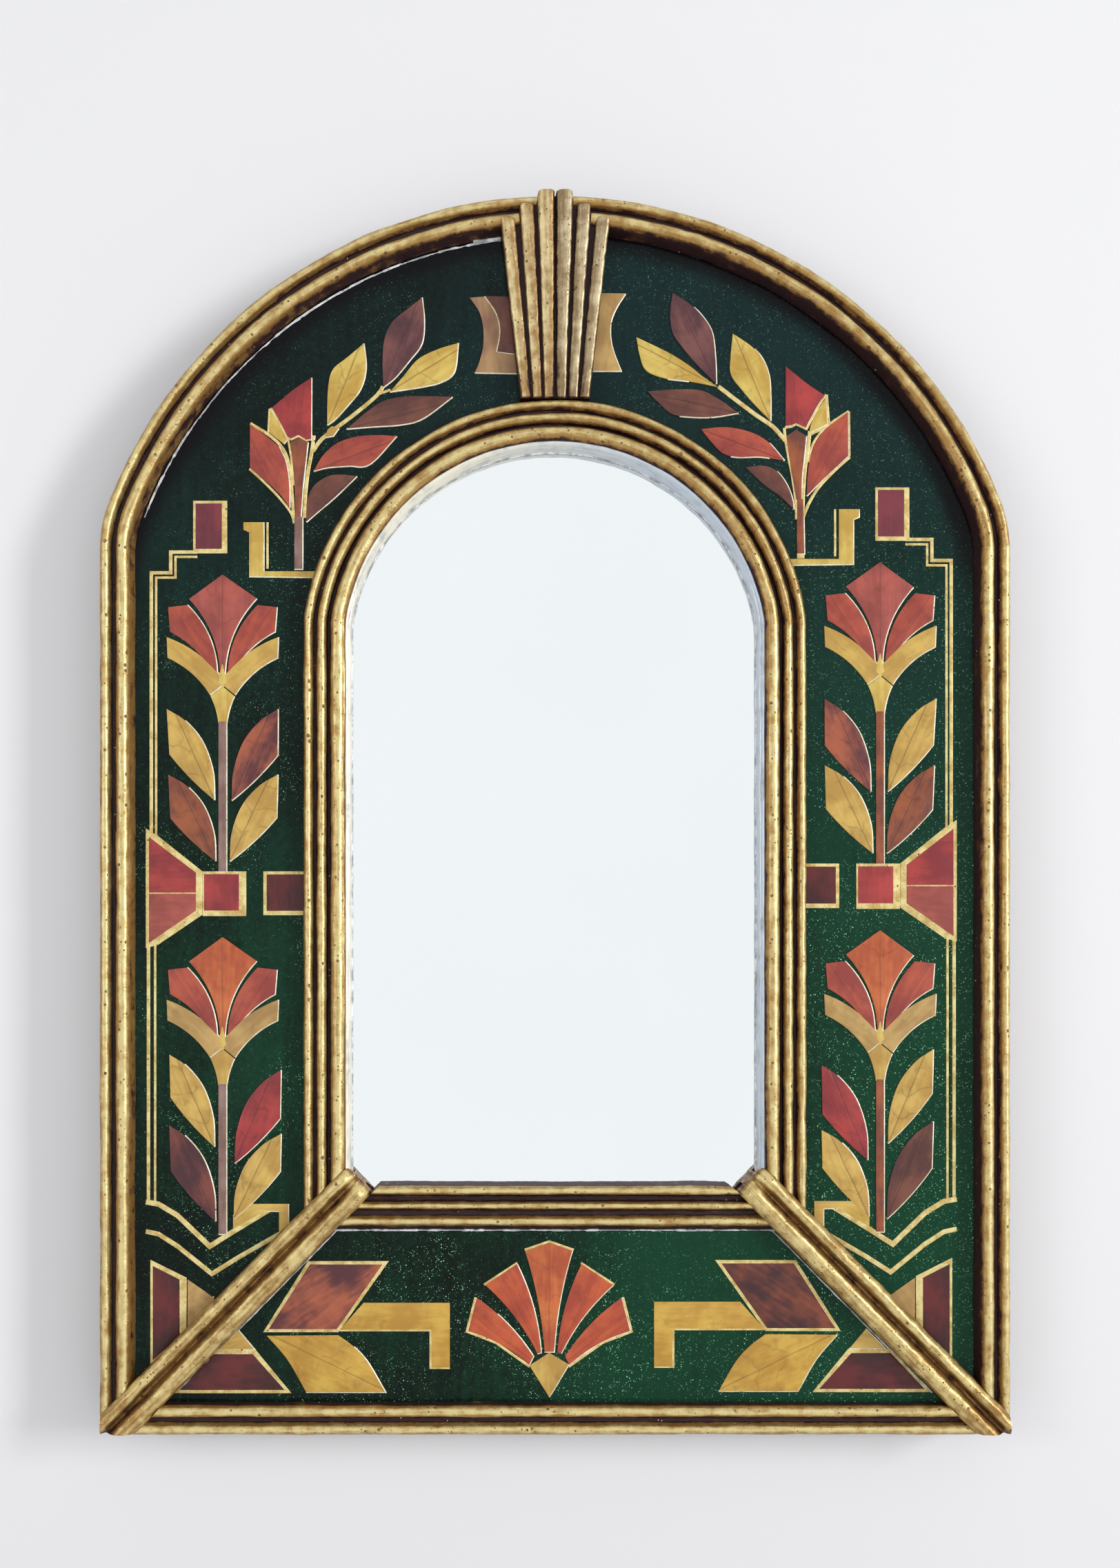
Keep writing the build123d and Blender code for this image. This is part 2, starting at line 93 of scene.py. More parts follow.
class Value:
    """A number socket of a shader graph that takes part in ordinary arithmetic."""

    def __init__(self, graph: "Graph", socket: Socket) -> None:
        """Wrap a socket of a graph."""
        self.graph = graph
        self.socket = socket

    def _math(self, operation: str, first: Any, second: Any = 0.0) -> "Value":
        """Add one Math node."""
        node = self.graph.node("ShaderNodeMath", {"operation": operation}, {0: first, 1: second})
        return Value(self.graph, node.outputs[0])

    def larger(self, other: Any) -> "Value":
        """The larger of two numbers."""
        return self._math("MAXIMUM", self, other)

    def __add__(self, other: Any) -> "Value":
        """Sum."""
        return self._math("ADD", self, other)

    def __sub__(self, other: Any) -> "Value":
        """Difference."""
        return self._math("SUBTRACT", self, other)

    def __rsub__(self, other: Any) -> "Value":
        """Difference, reflected."""
        return self._math("SUBTRACT", other, self)

    def __mul__(self, other: Any) -> "Value":
        """Product."""
        return self._math("MULTIPLY", self, other)

    __radd__ = __add__
    __rmul__ = __mul__

    def __abs__(self) -> "Value":
        """Size without its sign."""
        return self._math("ABSOLUTE", self)

    def wave(self) -> "Value":
        """Distance from the nearest half way between whole numbers, from 0 to 0.5."""
        return abs(self._math("FRACT", self) - 0.5)

    def step(self, low: float, high: float) -> "Value":
        """Rise smoothly from 0 at low to 1 at high.

        Args:
            low: Value that gives 0.
            high: Value that gives 1; less than low turns the step round.

        Returns:
            The stepped value.
        """
        node = self.graph.node("ShaderNodeMapRange", {"interpolation_type": "SMOOTHSTEP"},
                               {0: self, 1: low, 2: high, 3: 0.0, 4: 1.0})
        return Value(self.graph, node.outputs[0])

    def between(self, low: Any, high: Any) -> "Value":
        """Blend two numbers, low where this value is 0 and high where it is 1."""
        return self * (high - low) + low

    def blend(self, low: Any, high: Any) -> Socket:
        """Blend two colours.

        Args:
            low: Colour or colour socket where this value is 0.
            high: Colour or colour socket where it is 1.

        Returns:
            The colour socket.
        """
        node = self.graph.node("ShaderNodeMix", {"data_type": "RGBA"}, {0: self, 6: low, 7: high})
        return node.outputs[2]


class Graph:
    """The nodes of a material or of the world."""

    def __init__(self, owner: Material | bpy.types.World) -> None:
        """Start with no nodes.

        Args:
            owner: The material or world that the nodes belong to.
        """
        owner.use_nodes = True
        self.owner = owner
        self.tree = owner.node_tree
        self.tree.nodes.clear()

    @classmethod
    def named(cls, name: str) -> "Graph":
        """Start the graph of a new material."""
        return cls(bpy.data.materials.new(name))

    @cached_property
    def place(self) -> Socket:
        """The piece's own coordinates."""
        return self.node("ShaderNodeTexCoord").outputs["Object"]

    def node(self, kind: str, settings: dict[str, Any] | None = None,
             inputs: dict[Any, Any] | None = None) -> bpy.types.Node:
        """Make a node.

        Args:
            kind: Type of the node.
            settings: Properties that are set before its sockets.
            inputs: Value or link of each socket, by its name or number.

        Returns:
            The node.
        """
        node = self.tree.nodes.new(kind)
        for key, value in (settings or {}).items():
            setattr(node, key, value)
        for key, value in (inputs or {}).items():
            if isinstance(value, Value):
                value = value.socket
            if isinstance(value, Socket):
                self.tree.links.new(value, node.inputs[key])
            else:
                node.inputs[key].default_value = value
        return node

    def attribute(self, name: str) -> Value:
        """Read a number that a piece keeps as an attribute."""
        return Value(self, self.node("ShaderNodeAttribute", {"attribute_name": name}).outputs["Fac"])

    def colour(self, name: str) -> Socket:
        """Read a colour that a piece keeps as an attribute."""
        return self.node("ShaderNodeAttribute", {"attribute_name": name}).outputs["Color"]

    def run(self) -> Socket:
        """Read a piece's own map, in metres along and across it."""
        return self.node("ShaderNodeUVMap", {"uv_map": "run"}).outputs["UV"]

    def ray(self, kind: str) -> Value:
        """Ask whether a ray is of a kind."""
        return Value(self, self.node("ShaderNodeLightPath").outputs[kind])

    def split(self, vector: Any) -> list[Value]:
        """Take a vector apart into its three numbers."""
        node = self.node("ShaderNodeSeparateXYZ", None, {0: vector})
        return [Value(self, socket) for socket in node.outputs]

    def stretch(self, vector: Any, scale: Sequence[float]) -> Socket:
        """Scale a vector along its axes."""
        return self.node("ShaderNodeVectorMath", {"operation": "MULTIPLY"},
                         {0: vector, 1: tuple(scale)}).outputs[0]

    def noise(self, scale: float, detail: float = 3.0, vector: Any = None,
              roughness: float = 0.55) -> Value:
        """Soft noise, about 0.5.

        Args:
            scale: Waves per metre.
            detail: Octaves.
            vector: Place to read it at; the piece's own place by default.
            roughness: Strength of the finer octaves.

        Returns:
            The noise.
        """
        node = self.node("ShaderNodeTexNoise", None,
                         {"Vector": vector or self.place, "Scale": scale, "Detail": detail,
                          "Roughness": roughness})
        return Value(self, node.outputs[0])

    def specks(self, scale: float, size: float, share: float, vector: Any = None) -> Value:
        """Scattered round specks.

        Args:
            scale: Cells per metre.
            size: Radius of a speck, as a share of a cell.
            share: Share of the cells that hold one.
            vector: Place to read it at.

        Returns:
            1 inside a speck and 0 outside.
        """
        cells = self.node("ShaderNodeTexVoronoi", None,
                          {"Vector": vector or self.place, "Scale": scale})
        chosen = self.node("ShaderNodeSeparateColor", None, {0: cells.outputs["Color"]})
        pick = Value(self, chosen.outputs[0]).step(1 - share - 0.01, 1 - share + 0.01)
        grown = Value(self, chosen.outputs[1]).between(0.5 * size, size)
        return pick * (grown - Value(self, cells.outputs["Distance"])).step(0.0, 0.3 * size)

    def bump(self, height: Value, distance: float, strength: float = 1.0) -> Socket:
        """Turn a height into a normal; distance is in metres."""
        return self.node("ShaderNodeBump", None,
                         {"Height": height, "Distance": distance, "Strength": strength}).outputs[0]

    def mix(self, factor: Value, first: Socket, second: Socket) -> Socket:
        """Mix two shaders, the first where the factor is 0 and the second where it is 1."""
        return self.node("ShaderNodeMixShader", None, {0: factor, 1: first, 2: second}).outputs[0]

    def close(self, shader: Socket, output: str = "ShaderNodeOutputMaterial"
              ) -> Material | bpy.types.World:
        """End the graph.

        Args:
            shader: What the output shows.
            output: Type of the output node.

        Returns:
            The finished material or world.
        """
        self.node(output, None, {"Surface": shader})
        return self.owner

    def surface(self, inputs: dict[str, Any]) -> Material:
        """End the graph with a Principled surface that has these inputs."""
        return self.close(self.node("ShaderNodeBsdfPrincipled", None, inputs).outputs[0])


# ---- finishes
@dataclass(frozen=True)
class GoldLeaf:
    """Worn gold leaf over a dark red-brown bole, with painted light and shade carried by the attribute
    "cover". Reads the map "run" and the attribute "cover".
    """

    name: str
    pale: str = "dbca8e"
    deep: str = "a17a40"
    bole: str = "260d0e"
    rubbed: str = "6b4125"
    hold: float = 0.05     # how well the leaf has kept; more leaves less bole
    metal: float = 0.5

    def make(self) -> Material:
        """Build the material.

        Returns:
            The material.
        """
        g = Graph.named(self.name)
        run = g.run()
        cover = g.attribute("cover")
        streak = g.noise(1.0, 4, g.stretch(run, (55, 900, 1)))
        mottle = g.noise(230, 5, roughness=0.62)
        fine = g.noise(1500, 3)
        patch = g.noise(60, 3).step(0.46, 0.62)
        # The attribute cover holds wear and also painted light and shade: more leaf on the side of a rib
        # that faces the light, dark bole on inner sides turned from it.
        worn = cover + (mottle - 0.5) * 0.8 + (streak - 0.5) * 0.55 + self.hold
        pits = g.specks(390, 0.32, 0.30)
        pores = g.specks(820, 0.34, 0.32)
        gone = pits * mottle.step(0.38, 0.52) + pores * patch.between(0.35, 1.0)
        leaf = worn.step(0.22, 0.46) * (1 - gone * 0.85)
        # Painted highlight: the gold is palest where cover is highest, on the side of each rib that faces
        # the light.
        bright = (cover * 0.85 + (mottle - 0.5) * 1.1 + (streak - 0.5) * 0.9).step(0.36, 0.98)
        gold = bright.blend(paint(self.deep), paint(self.pale))
        ground = (streak * 0.5 + worn * 0.9).step(0.34, 0.80).blend(paint(self.bole), paint(self.rubbed))
        chalk = g.specks(760, 0.24, 0.025) * cover.step(0.5, 0.2)
        height = (mottle * 0.6 + fine * patch.between(0.2, 0.7) + leaf * 0.25 - gone * 0.9
                  + streak * 0.35)
        return g.surface({
            "Base Color": chalk.blend(leaf.blend(ground, gold), paint("d9cfbf")),
            "Metallic": leaf * self.metal,
            "Roughness": leaf.between(0.62, 0.34) + (fine - 0.5) * 0.22,
            "Normal": g.bump(height, 0.24 * MM),
            "Specular IOR Level": 0.4})


@dataclass(frozen=True)
class GlitterLacquer:
    """Deep green lacquer with fine glitter under a gloss."""

    name: str = "glitter_lacquer"
    deep: str = "07110c"
    lively: str = "10402a"
    # painted reflection: the bluish tone that the upper part takes
    upper: str = "122a2b"
    # colour of the painted shadow along the inside of the outer arch
    painted_shadow: str = "07060a"
    glint: str = "a4ecb8"

    def make(self) -> Material:
        """Build the material.

        Returns:
            The material.
        """
        g = Graph.named(self.name)
        x, _, z = g.split(g.place)
        cloud = g.noise(14, 3)
        grain = g.noise(520, 4)
        streak = g.noise(1.0, 3, g.stretch(g.place, (420, 420, 26)))
        # Painted reflection: towards the top the lacquer turns bluish and shows less glitter.
        height = z.step(-0.30, 0.0)
        hue = height.blend(paint(self.lively), paint(self.upper))
        # Painted light from the right: the lacquer is lighter and greener towards the right and darker at
        # the lower left.
        dull = x.step(0.04, -0.04) * z.step(-0.32, -0.36) * 0.17
        strong = (cloud * 0.7 + grain * 0.4 + streak * 0.25 + x.step(-0.14, 0.12) * 0.25
                  - z.step(-0.36, -0.24) * 0.04 - dull).step(0.40, 1.02)
        # Painted shadow: a dark band on the panel along the inside of the outer arch, where the moulding
        # casts its shade.
        reach = Value(g, g.node("ShaderNodeVectorMath", {"operation": "DISTANCE"},
                                {0: g.stretch(g.place, (1, 0, 1)), 1: (0, 0, OUTER.centre)}
                                ).outputs["Value"])
        under = (OUTER.radius - reach + (cloud - 0.5) * 0.008).step(22 * MM, 14.5 * MM)
        under = under * z.step(-0.13, -0.08)
        body = under.blend(strong.blend(paint(self.deep), hue), paint(self.painted_shadow))
        # Painted light from the right: more glitter shows towards the right.
        patch = (g.noise(34, 2) + x * 0.6).step(0.35, 0.60)
        dust = g.specks(1900, 0.38, 0.46) * g.noise(300, 2).step(0.36, 0.54)
        flakes = g.specks(1150, 0.28, 0.15)
        # The glitter fades in the painted shadow under the arch and, with the painted reflection, towards
        # the top.
        glitter = ((dust * 0.65 + flakes * 0.95) * patch.between(0.12, 1.0)
                   * height.between(1.0, 0.26) * (1 - under * 0.8))
        tint = glitter.blend(body, paint(self.glint))
        return g.surface({
            "Base Color": tint,
            "Roughness": glitter.between(0.17, 0.4) + (grain - 0.5) * 0.08,
            "Normal": g.bump(grain * 0.5 + cloud, 0.02 * MM),
            "Specular IOR Level": 0.12})


@dataclass(frozen=True)
class InlayVeneer:
    """Stained inlay. Reads the map "run" and the colour attributes "tint" and "shade"."""

    name: str = "inlay_veneer"
    vein_step: float = 10 * MM
    vein_colour: str = "3a1c16"

    def make(self) -> Material:
        """Build the material.

        Returns:
            The material.
        """
        g = Graph.named(self.name)
        run = g.run()
        along, across, _ = g.split(run)
        grain = g.noise(1.0, 4, g.stretch(run, (95, 620, 1)))
        cloud = g.noise(62, 3, run)
        smudge = g.noise(170, 3, run).step(0.56, 0.72)
        warp = (g.noise(95, 3) - 0.5) * 1.5
        sides = ((along - abs(across) * 0.85) * (1 / self.vein_step) + warp).wave()
        side_vein = (0.5 - sides).step(0.075, 0.02) * g.noise(130, 2).step(0.40, 0.56)
        midrib = (abs(across + warp * 0.35 * MM)).step(0.36 * MM, 0.12 * MM)
        vein = (side_vein * 0.55 + midrib * (1 - side_vein * 0.55)) * g.attribute("cover")
        depth = (grain * 0.35 + cloud * 0.95).step(0.46, 0.80)
        body = depth.blend(g.colour("tint"), g.colour("shade"))
        worn = g.specks(620, 0.26, 0.05)
        veined = (vein * 0.42 + worn * 0.3 + smudge * 0.22).blend(body, paint(self.vein_colour))
        return g.surface({
            "Base Color": veined,
            "Roughness": grain.between(0.2, 0.38),
            "Normal": g.bump(grain * 0.6 + cloud * 0.3 - vein * 0.6 - worn * 0.5, 0.06 * MM),
            "Specular IOR Level": 0.4})


@dataclass(frozen=True)
class InlayLine:
    """Pale gilt lines that edge the inlay; a paler copy paints highlights along the shapes' lit edges."""

    name: str
    pale: str = "e8d795"
    deep: str = "c0a158"

    def make(self) -> Material:
        """Build the material.

        Returns:
            The material.
        """
        g = Graph.named(self.name)
        mottle = g.noise(240, 4)
        fine = g.noise(1300, 2)
        tone = (mottle * 0.7 + fine * 0.3).step(0.36, 0.62).blend(paint(self.deep), paint(self.pale))
        worn = g.specks(520, 0.3, 0.1)
        return g.surface({
            "Base Color": worn.blend(tone, paint("4a3320")),
            "Metallic": 0.2,
            "Roughness": mottle.between(0.26, 0.45),
            "Normal": g.bump(mottle * 0.6 + fine * 0.3 - worn, 0.06 * MM)})


@dataclass(frozen=True)
class Resin:
    """Pale cloudy resin that seals a joint."""

    name: str = "pale_resin"
    pale: str = "eceeee"
    dull: str = "9a9f9e"

    def make(self) -> Material:
        """Build the material.

        Returns:
            The material.
        """
        g = Graph.named(self.name)
        mottle = g.noise(260, 4)
        return g.surface({
            "Base Color": mottle.step(0.36, 0.64).blend(paint(self.dull), paint(self.pale)),
            "Roughness": mottle.between(0.12, 0.4),
            "Normal": g.bump(mottle, 0.12 * MM)})


@dataclass(frozen=True)
class SilverPaint:
    """Silver-grey paint on the wall round the glass. Reads the map "run"."""

    name: str = "silver_paint"
    warm: str = "efe8d4"
    cool: str = "c9d3de"
    dull: str = "a3a7aa"

    def make(self) -> Material:
        """Build the material.

        Returns:
            The material.
        """
        g = Graph.named(self.name)
        side, _, _ = g.split(g.place)
        streak = g.noise(1.0, 4, g.stretch(g.run(), (60, 520, 1)))
        mottle = g.noise(180, 4)
        tone = (streak * 0.6 + mottle * 0.5).step(0.34, 0.6)
        # Painted light and shade: the wall is warmer on the left, where it faces the light, and cooler on
        # the right, turned away from it.
        pale = side.step(-0.05, 0.05).blend(paint(self.warm), paint(self.cool))
        return g.surface({
            "Base Color": tone.blend(paint(self.dull), pale),
            "Metallic": 0.15,
            "Roughness": tone.between(0.45, 0.3),
            "Normal": g.bump(streak + mottle * 0.5, 0.06 * MM)})


@dataclass(frozen=True)
class MirrorGlass:
    """Silvered glass, very slightly worn."""

    name: str = "mirror_glass"

    def make(self) -> Material:
        """Build the material.

        Returns:
            The material.
        """
        g = Graph.named(self.name)
        haze = g.noise(9, 3)
        return g.surface({
            "Base Color": haze.blend(paint("f0f4f5"), paint("f5f7f8")),
            "Metallic": 1.0,
            "Roughness": haze.between(0.012, 0.03)})


@dataclass(frozen=True)
class StainedWood:
    """Dark stained board with its grain upright."""

    name: str = "stained_board"
    light: str = "5d4029"
    dark: str = "2a1a11"

    def make(self) -> Material:
        """Build the material.

        Returns:
            The material.
        """
        g = Graph.named(self.name)
        bend = g.noise(6, 2)
        rings = g.noise(1.0, 5, g.stretch(g.place, (260, 260, 7)))
        pores = g.noise(1.0, 3, g.stretch(g.place, (1500, 1500, 45)))
        tone = (rings * 0.8 + bend * 0.3 + (pores - 0.5) * 0.3).step(0.36, 0.74)
        return g.surface({
            "Base Color": tone.blend(paint(self.dark), paint(self.light)),
            "Roughness": tone.between(0.72, 0.58) + (pores - 0.5) * 0.2,
            "Normal": g.bump(rings * 0.6 + pores * 0.6, 0.12 * MM)})


@dataclass(frozen=True)
class PlatedSteel:
    """Zinc-plated steel with fine brushing and a little dulling."""

    name: str
    bright: str = "cfcfca"
    dull: str = "8f8d86"

    def make(self) -> Material:
        """Build the material.

        Returns:
            The material.
        """
        g = Graph.named(self.name)
        brush = g.noise(1.0, 3, g.stretch(g.place, (3200, 900, 160)))
        cloud = g.noise(160, 4)
        return g.surface({
            "Base Color": (cloud * 0.8 + brush * 0.3).step(0.4, 0.75).blend(paint(self.dull),
                                                                         paint(self.bright)),
            "Metallic": 0.95,
            "Roughness": cloud.between(0.3, 0.5) + (brush - 0.5) * 0.2,
            "Normal": g.bump(brush, 0.02 * MM)})


@dataclass(frozen=True)
class Rubber:
    """Matt black rubber with a fine moulded grain."""

    name: str = "bumper_rubber"

    def make(self) -> Material:
        """Build the material.

        Returns:
            The material.
        """
        g = Graph.named(self.name)
        grain = g.noise(1800, 3)
        dust = g.noise(220, 4).step(0.45, 0.75)
        return g.surface({
            "Base Color": dust.blend(paint("191817"), paint("36332f")),
            "Roughness": grain.between(0.7, 0.9),
            "Normal": g.bump(grain, 0.05 * MM)})


# ---- modelling bench
class Bench:
    """One mesh in the making, shaped with Blender's own operators."""

    def __init__(self, name: str, points: Sequence[Sequence[float]], filled: bool = False) -> None:
        """Start from a disc whose corners are pulled out to an outline.

        Args:
            name: Name of the piece.
            points: The outline's corners, in order round it, in metres.
            filled: Whether the outline is a face or only its edge.
        """
        if bpy.context.mode != "OBJECT":
            bpy.ops.object.mode_set(mode="OBJECT")
        bpy.ops.object.select_all(action="DESELECT")
        bpy.ops.mesh.primitive_circle_add(vertices=len(points), radius=MM, calc_uvs=False,
                                          fill_type="NGON" if filled else "NOTHING")
        self.object = bpy.context.object
        self.object.name = self.object.data.name = name
        for vertex, point in zip(self.object.data.vertices, points):
            vertex.co = point
        self.edit()
        bpy.ops.mesh.select_all(action="SELECT")

    @classmethod
    def reopen(cls, piece: Piece) -> "Bench":
        """Put a piece back on the bench.

        Args:
            piece: The piece.

        Returns:
            A bench with the piece in edit mode.
        """
        only(piece)
        bench = cls.__new__(cls)
        bench.object = piece
        bench.edit()
        return bench

    def edit(self) -> None:
        """Go to edit mode."""
        bpy.ops.object.mode_set(mode="EDIT")

    def leave(self) -> None:
        """Go back to object mode."""
        bpy.ops.object.mode_set(mode="OBJECT")

    def face_out(self) -> None:
        """Select the whole mesh and turn its faces outwards."""
        bpy.ops.mesh.select_all(action="SELECT")
        bpy.ops.mesh.normals_make_consistent(inside=False)

    def pull(self, step: Sequence[float], steps: int = 1) -> "Bench":
        """Extrude what is selected, several times by one step."""
        bpy.ops.mesh.extrude_repeat(steps=steps, offset=tuple(step))
        return self

    def turn(self, centre: Flat, angle: float, steps: int) -> None:
        """Spin what is selected about an axis that points to the front.

        Args:
            centre: Where the axis stands, in X and Z.
            angle: Angle from +X towards +Z, in radians.
            steps: Number of rings.
        """
        bpy.ops.mesh.spin(steps=steps, angle=angle, center=(centre[0], 0, centre[1]),
                          axis=(0, 1, 0), use_auto_merge=False)

    def bend(self, line: "ArchLine", ring_step: float, whole: bool = True) -> "Bench":
        """Sweep what is selected over an arch, from its right shoulder.

        Args:
            line: Outline with the arch.
            ring_step: Spacing of the rings.
            whole: Whether it runs on to the left shoulder, or ends at the crown.

        Returns:
            The bench.
        """
        shoulder_steps = max(2, round(line.shoulder * line.shoulder_angle / ring_step))
        self.turn((line.shoulder_x, line.shoulder_z), line.shoulder_angle, shoulder_steps)
        sweep = (QUARTER - line.shoulder_angle) * (2 if whole else 1)
        self.turn((0, line.centre), sweep, round(line.radius * sweep / ring_step))
        if whole:
            self.turn((-line.shoulder_x, line.shoulder_z), line.shoulder_angle, shoulder_steps)
        return self

    def size(self, factors: Sequence[float], about: Sequence[float]) -> None:
        """Scale what is selected about a point."""
        bpy.ops.transform.resize(value=tuple(factors), center_override=tuple(about))

    def inset(self, width: float, rise: float) -> None:
        """Inset the selected face and bring it forward."""
        bpy.ops.mesh.inset(thickness=width, depth=0.0)
        bpy.ops.transform.translate(value=(0, -rise, 0))

    def trim(self, point: Sequence[float], outward: Sequence[float]) -> None:
        """Cut the whole mesh by a plane and drop what lies on its outward side.

        Args:
            point: A point of the plane.
            outward: The plane's normal.
        """
        bpy.ops.mesh.select_all(action="SELECT")
        bpy.ops.mesh.bisect(plane_co=tuple(point), plane_no=tuple(outward), clear_outer=True,
                            threshold=1e-7)

    def cap(self) -> None:
        """Close every open end."""
        bpy.ops.mesh.select_all(action="SELECT")
        bpy.ops.mesh.fill_holes(sides=0)

    def lay_run(self, measure: Callable[[Vector], Run]) -> "Bench":
        """Give the mesh its map and cover.

        Args:
            measure: Gives along, across and cover for a point of the mesh.

        Returns:
            The bench.
        """
        self.leave()
        mesh = self.object.data
        found = [measure(vertex.co) for vertex in mesh.vertices]
        uv_map = mesh.uv_layers.new(name="run")
        for loop in mesh.loops:
            uv_map.data[loop.index].uv = found[loop.vertex_index][:2]
        cover = mesh.attributes.new("cover", "FLOAT", "POINT")
        for item, (_, _, share) in zip(cover.data, found):
            item.value = share
        self.edit()
        return self

    def relief(self, *layers: tuple[float, float], level: float = 1.0) -> "Bench":
        """Wear the surface back unevenly.

        Args:
            layers: Pairs of wave length and depth, in metres.
            level: 1 where the relief only cuts in, and less where it also stands out.

        Returns:
            The bench.
        """
        self.face_out()
        self.leave()
        for length, depth in layers:
            name = f"relief_{length / MM:g}"
            texture = bpy.data.textures.get(name) or bpy.data.textures.new(name, "CLOUDS")
            texture.noise_scale, texture.noise_depth = length, 1
            modifier = self.object.modifiers.new(name, "DISPLACE")
            modifier.texture, modifier.texture_coords = texture, "LOCAL"
            modifier.strength, modifier.mid_level = depth, level
            bpy.ops.object.modifier_apply(modifier=name)
        for vertex in self.object.data.vertices:      # nothing stands out of the solids' box
            vertex.co = [min(max(value, low + BOX_MARGIN), high - BOX_MARGIN)
                         for value, low, high in zip(vertex.co, *cad_box)]
        self.edit()
        return self

    def done(self, sharp: float = 50.0) -> Piece:
        """Close the ends, turn the faces outwards, smooth the shading and leave the bench.

        Args:
            sharp: Angle between faces above which an edge stays sharp, in degrees.

        Returns:
            The finished object.
        """
        self.cap()
        self.face_out()
        self.leave()
        bpy.ops.object.shade_smooth_by_angle(angle=math.radians(sharp))
        return self.object


def only(piece: Piece) -> None:
    """Select one object alone and make it active.

    Args:
        piece: The object.
    """
    bpy.ops.object.select_all(action="DESELECT")
    piece.select_set(True)
    bpy.context.view_layer.objects.active = piece


def mirrored(piece: Piece, name: str) -> Piece:
    """Copy a piece, with its own mesh, to the other side of the centre line.

    Args:
        piece: The right-hand piece.
        name: Name of the copy.

    Returns:
        The copy.
    """
    only(piece)
    bpy.ops.object.duplicate(linked=False)
    copy = bpy.context.object
    copy.name = copy.data.name = name
    bench = Bench.reopen(copy)
    bpy.ops.mesh.select_all(action="SELECT")
    bench.size((-1, 1, 1), (0, 0, 0))
    bench.face_out()
    bench.leave()
    return copy


def joined(pieces: Sequence[Piece], name: str) -> Piece:
    """Join pieces into one object.

    Args:
        pieces: The pieces.
        name: Name of the result.

    Returns:
        The joined object.
    """
    only(pieces[0])
    for piece in pieces:
        piece.select_set(True)
    bpy.ops.object.join()
    result = bpy.context.object
    result.name = result.data.name = name
    return result


def dress(piece: Piece, material: Material, slot: str, *nodes: str) -> None:
    """Give a new piece what it needs beside its shape.

    Args:
        piece: The piece.
        material: Its material.
        slot: Its slot in the record; not used.
        nodes: The nodes that it stands for.
    """
    piece.data.materials.clear()
    piece.data.materials.append(material)
    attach(piece, ROOT)
    if nodes:
        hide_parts(*nodes)
    log.info("%s: %d faces", piece.name, len(piece.data.polygons))


# ---- outlines and sections
@dataclass(frozen=True)
class ArchLine:
    """An arched outline with straight sides, a shoulder arc on each and one arc over them."""

    half_width: float
    foot: float
    radius: float
    centre: float
    shoulder: float

    @property
    def shoulder_x(self) -> float:
        """Centre of the right shoulder arc, across."""
        return self.half_width - self.shoulder

    @property
    def shoulder_z(self) -> float:
        """Centre of the shoulder arcs, upwards."""
        return self.centre + math.sqrt((self.radius - self.shoulder) ** 2 - self.shoulder_x ** 2)

    @property
    def shoulder_angle(self) -> float:
        """Angle that a shoulder arc turns through."""
        return math.atan2(self.shoulder_z - self.centre, self.shoulder_x)

    def inset(self, distance: float) -> "ArchLine":
        """The parallel outline this far inside."""
        return ArchLine(self.half_width - distance, self.foot + distance, self.radius - distance,
                        self.centre, self.shoulder - distance)

    def measure(self, x: float, z: float) -> Flat:
        """Find a point's place along and across the outline.

        Args:
            x: Across, from the centre line.
            z: Height.

        Returns:
            Distance along the outline from its foot, and distance inside it.
        """
        x = abs(x)
        if z <= self.shoulder_z:
            return z - self.foot, self.half_width - x
        rise = self.shoulder_z - self.foot
        bend = math.atan2(z - self.shoulder_z, max(x - self.shoulder_x, 1e-9))
        if bend < self.shoulder_angle and x > self.shoulder_x:
            reach = math.hypot(x - self.shoulder_x, z - self.shoulder_z)
            return rise + self.shoulder * bend, self.shoulder - reach
        angle = math.atan2(z - self.centre, x)
        start = rise + self.shoulder * self.shoulder_angle
        return (start + self.radius * (angle - self.shoulder_angle),
                self.radius - math.hypot(x, z - self.centre))


def arch_line(half_width: float, foot: float, crown: float, flatness: float,
              shoulder: float) -> ArchLine:
    """Draw an outline whose arch falls short of a half circle.

    Args:
        half_width: Half of its width.
        foot: Height of its foot.
        crown: Height of its crown.
        flatness: How much less than half the width the arch rises.
        shoulder: Radius of its shoulder arcs.

    Returns:
        The outline.
    """
    rise = half_width - flatness
    radius = (half_width ** 2 + rise ** 2) / (2 * rise)
    return ArchLine(half_width, foot, radius, crown - radius, shoulder)


OUTER = arch_line(167.2 * MM, FOOT_Z, 40 * MM, 45.5 * MM, 50 * MM)
BORDER = 74.8 * MM
INNER = arch_line(OUTER.half_width - BORDER, FOOT_Z + BORDER, 40 * MM - BORDER, 12 * MM, 40 * MM)


@dataclass(frozen=True)
class Rib:
    """One rounded rib of a moulding's section, in millimetres from its outer edge."""

    start: float
    width: float
    crest: float

    def height(self, across: float, rise: float) -> float:
        """Height of the top, which falls by the rise from its middle to its sides."""
        share = (across - self.start) / self.width * 2 - 1
        return self.crest - rise * (1 - math.sqrt(max(0.0, 1 - 0.94 * share * share))) / 0.755


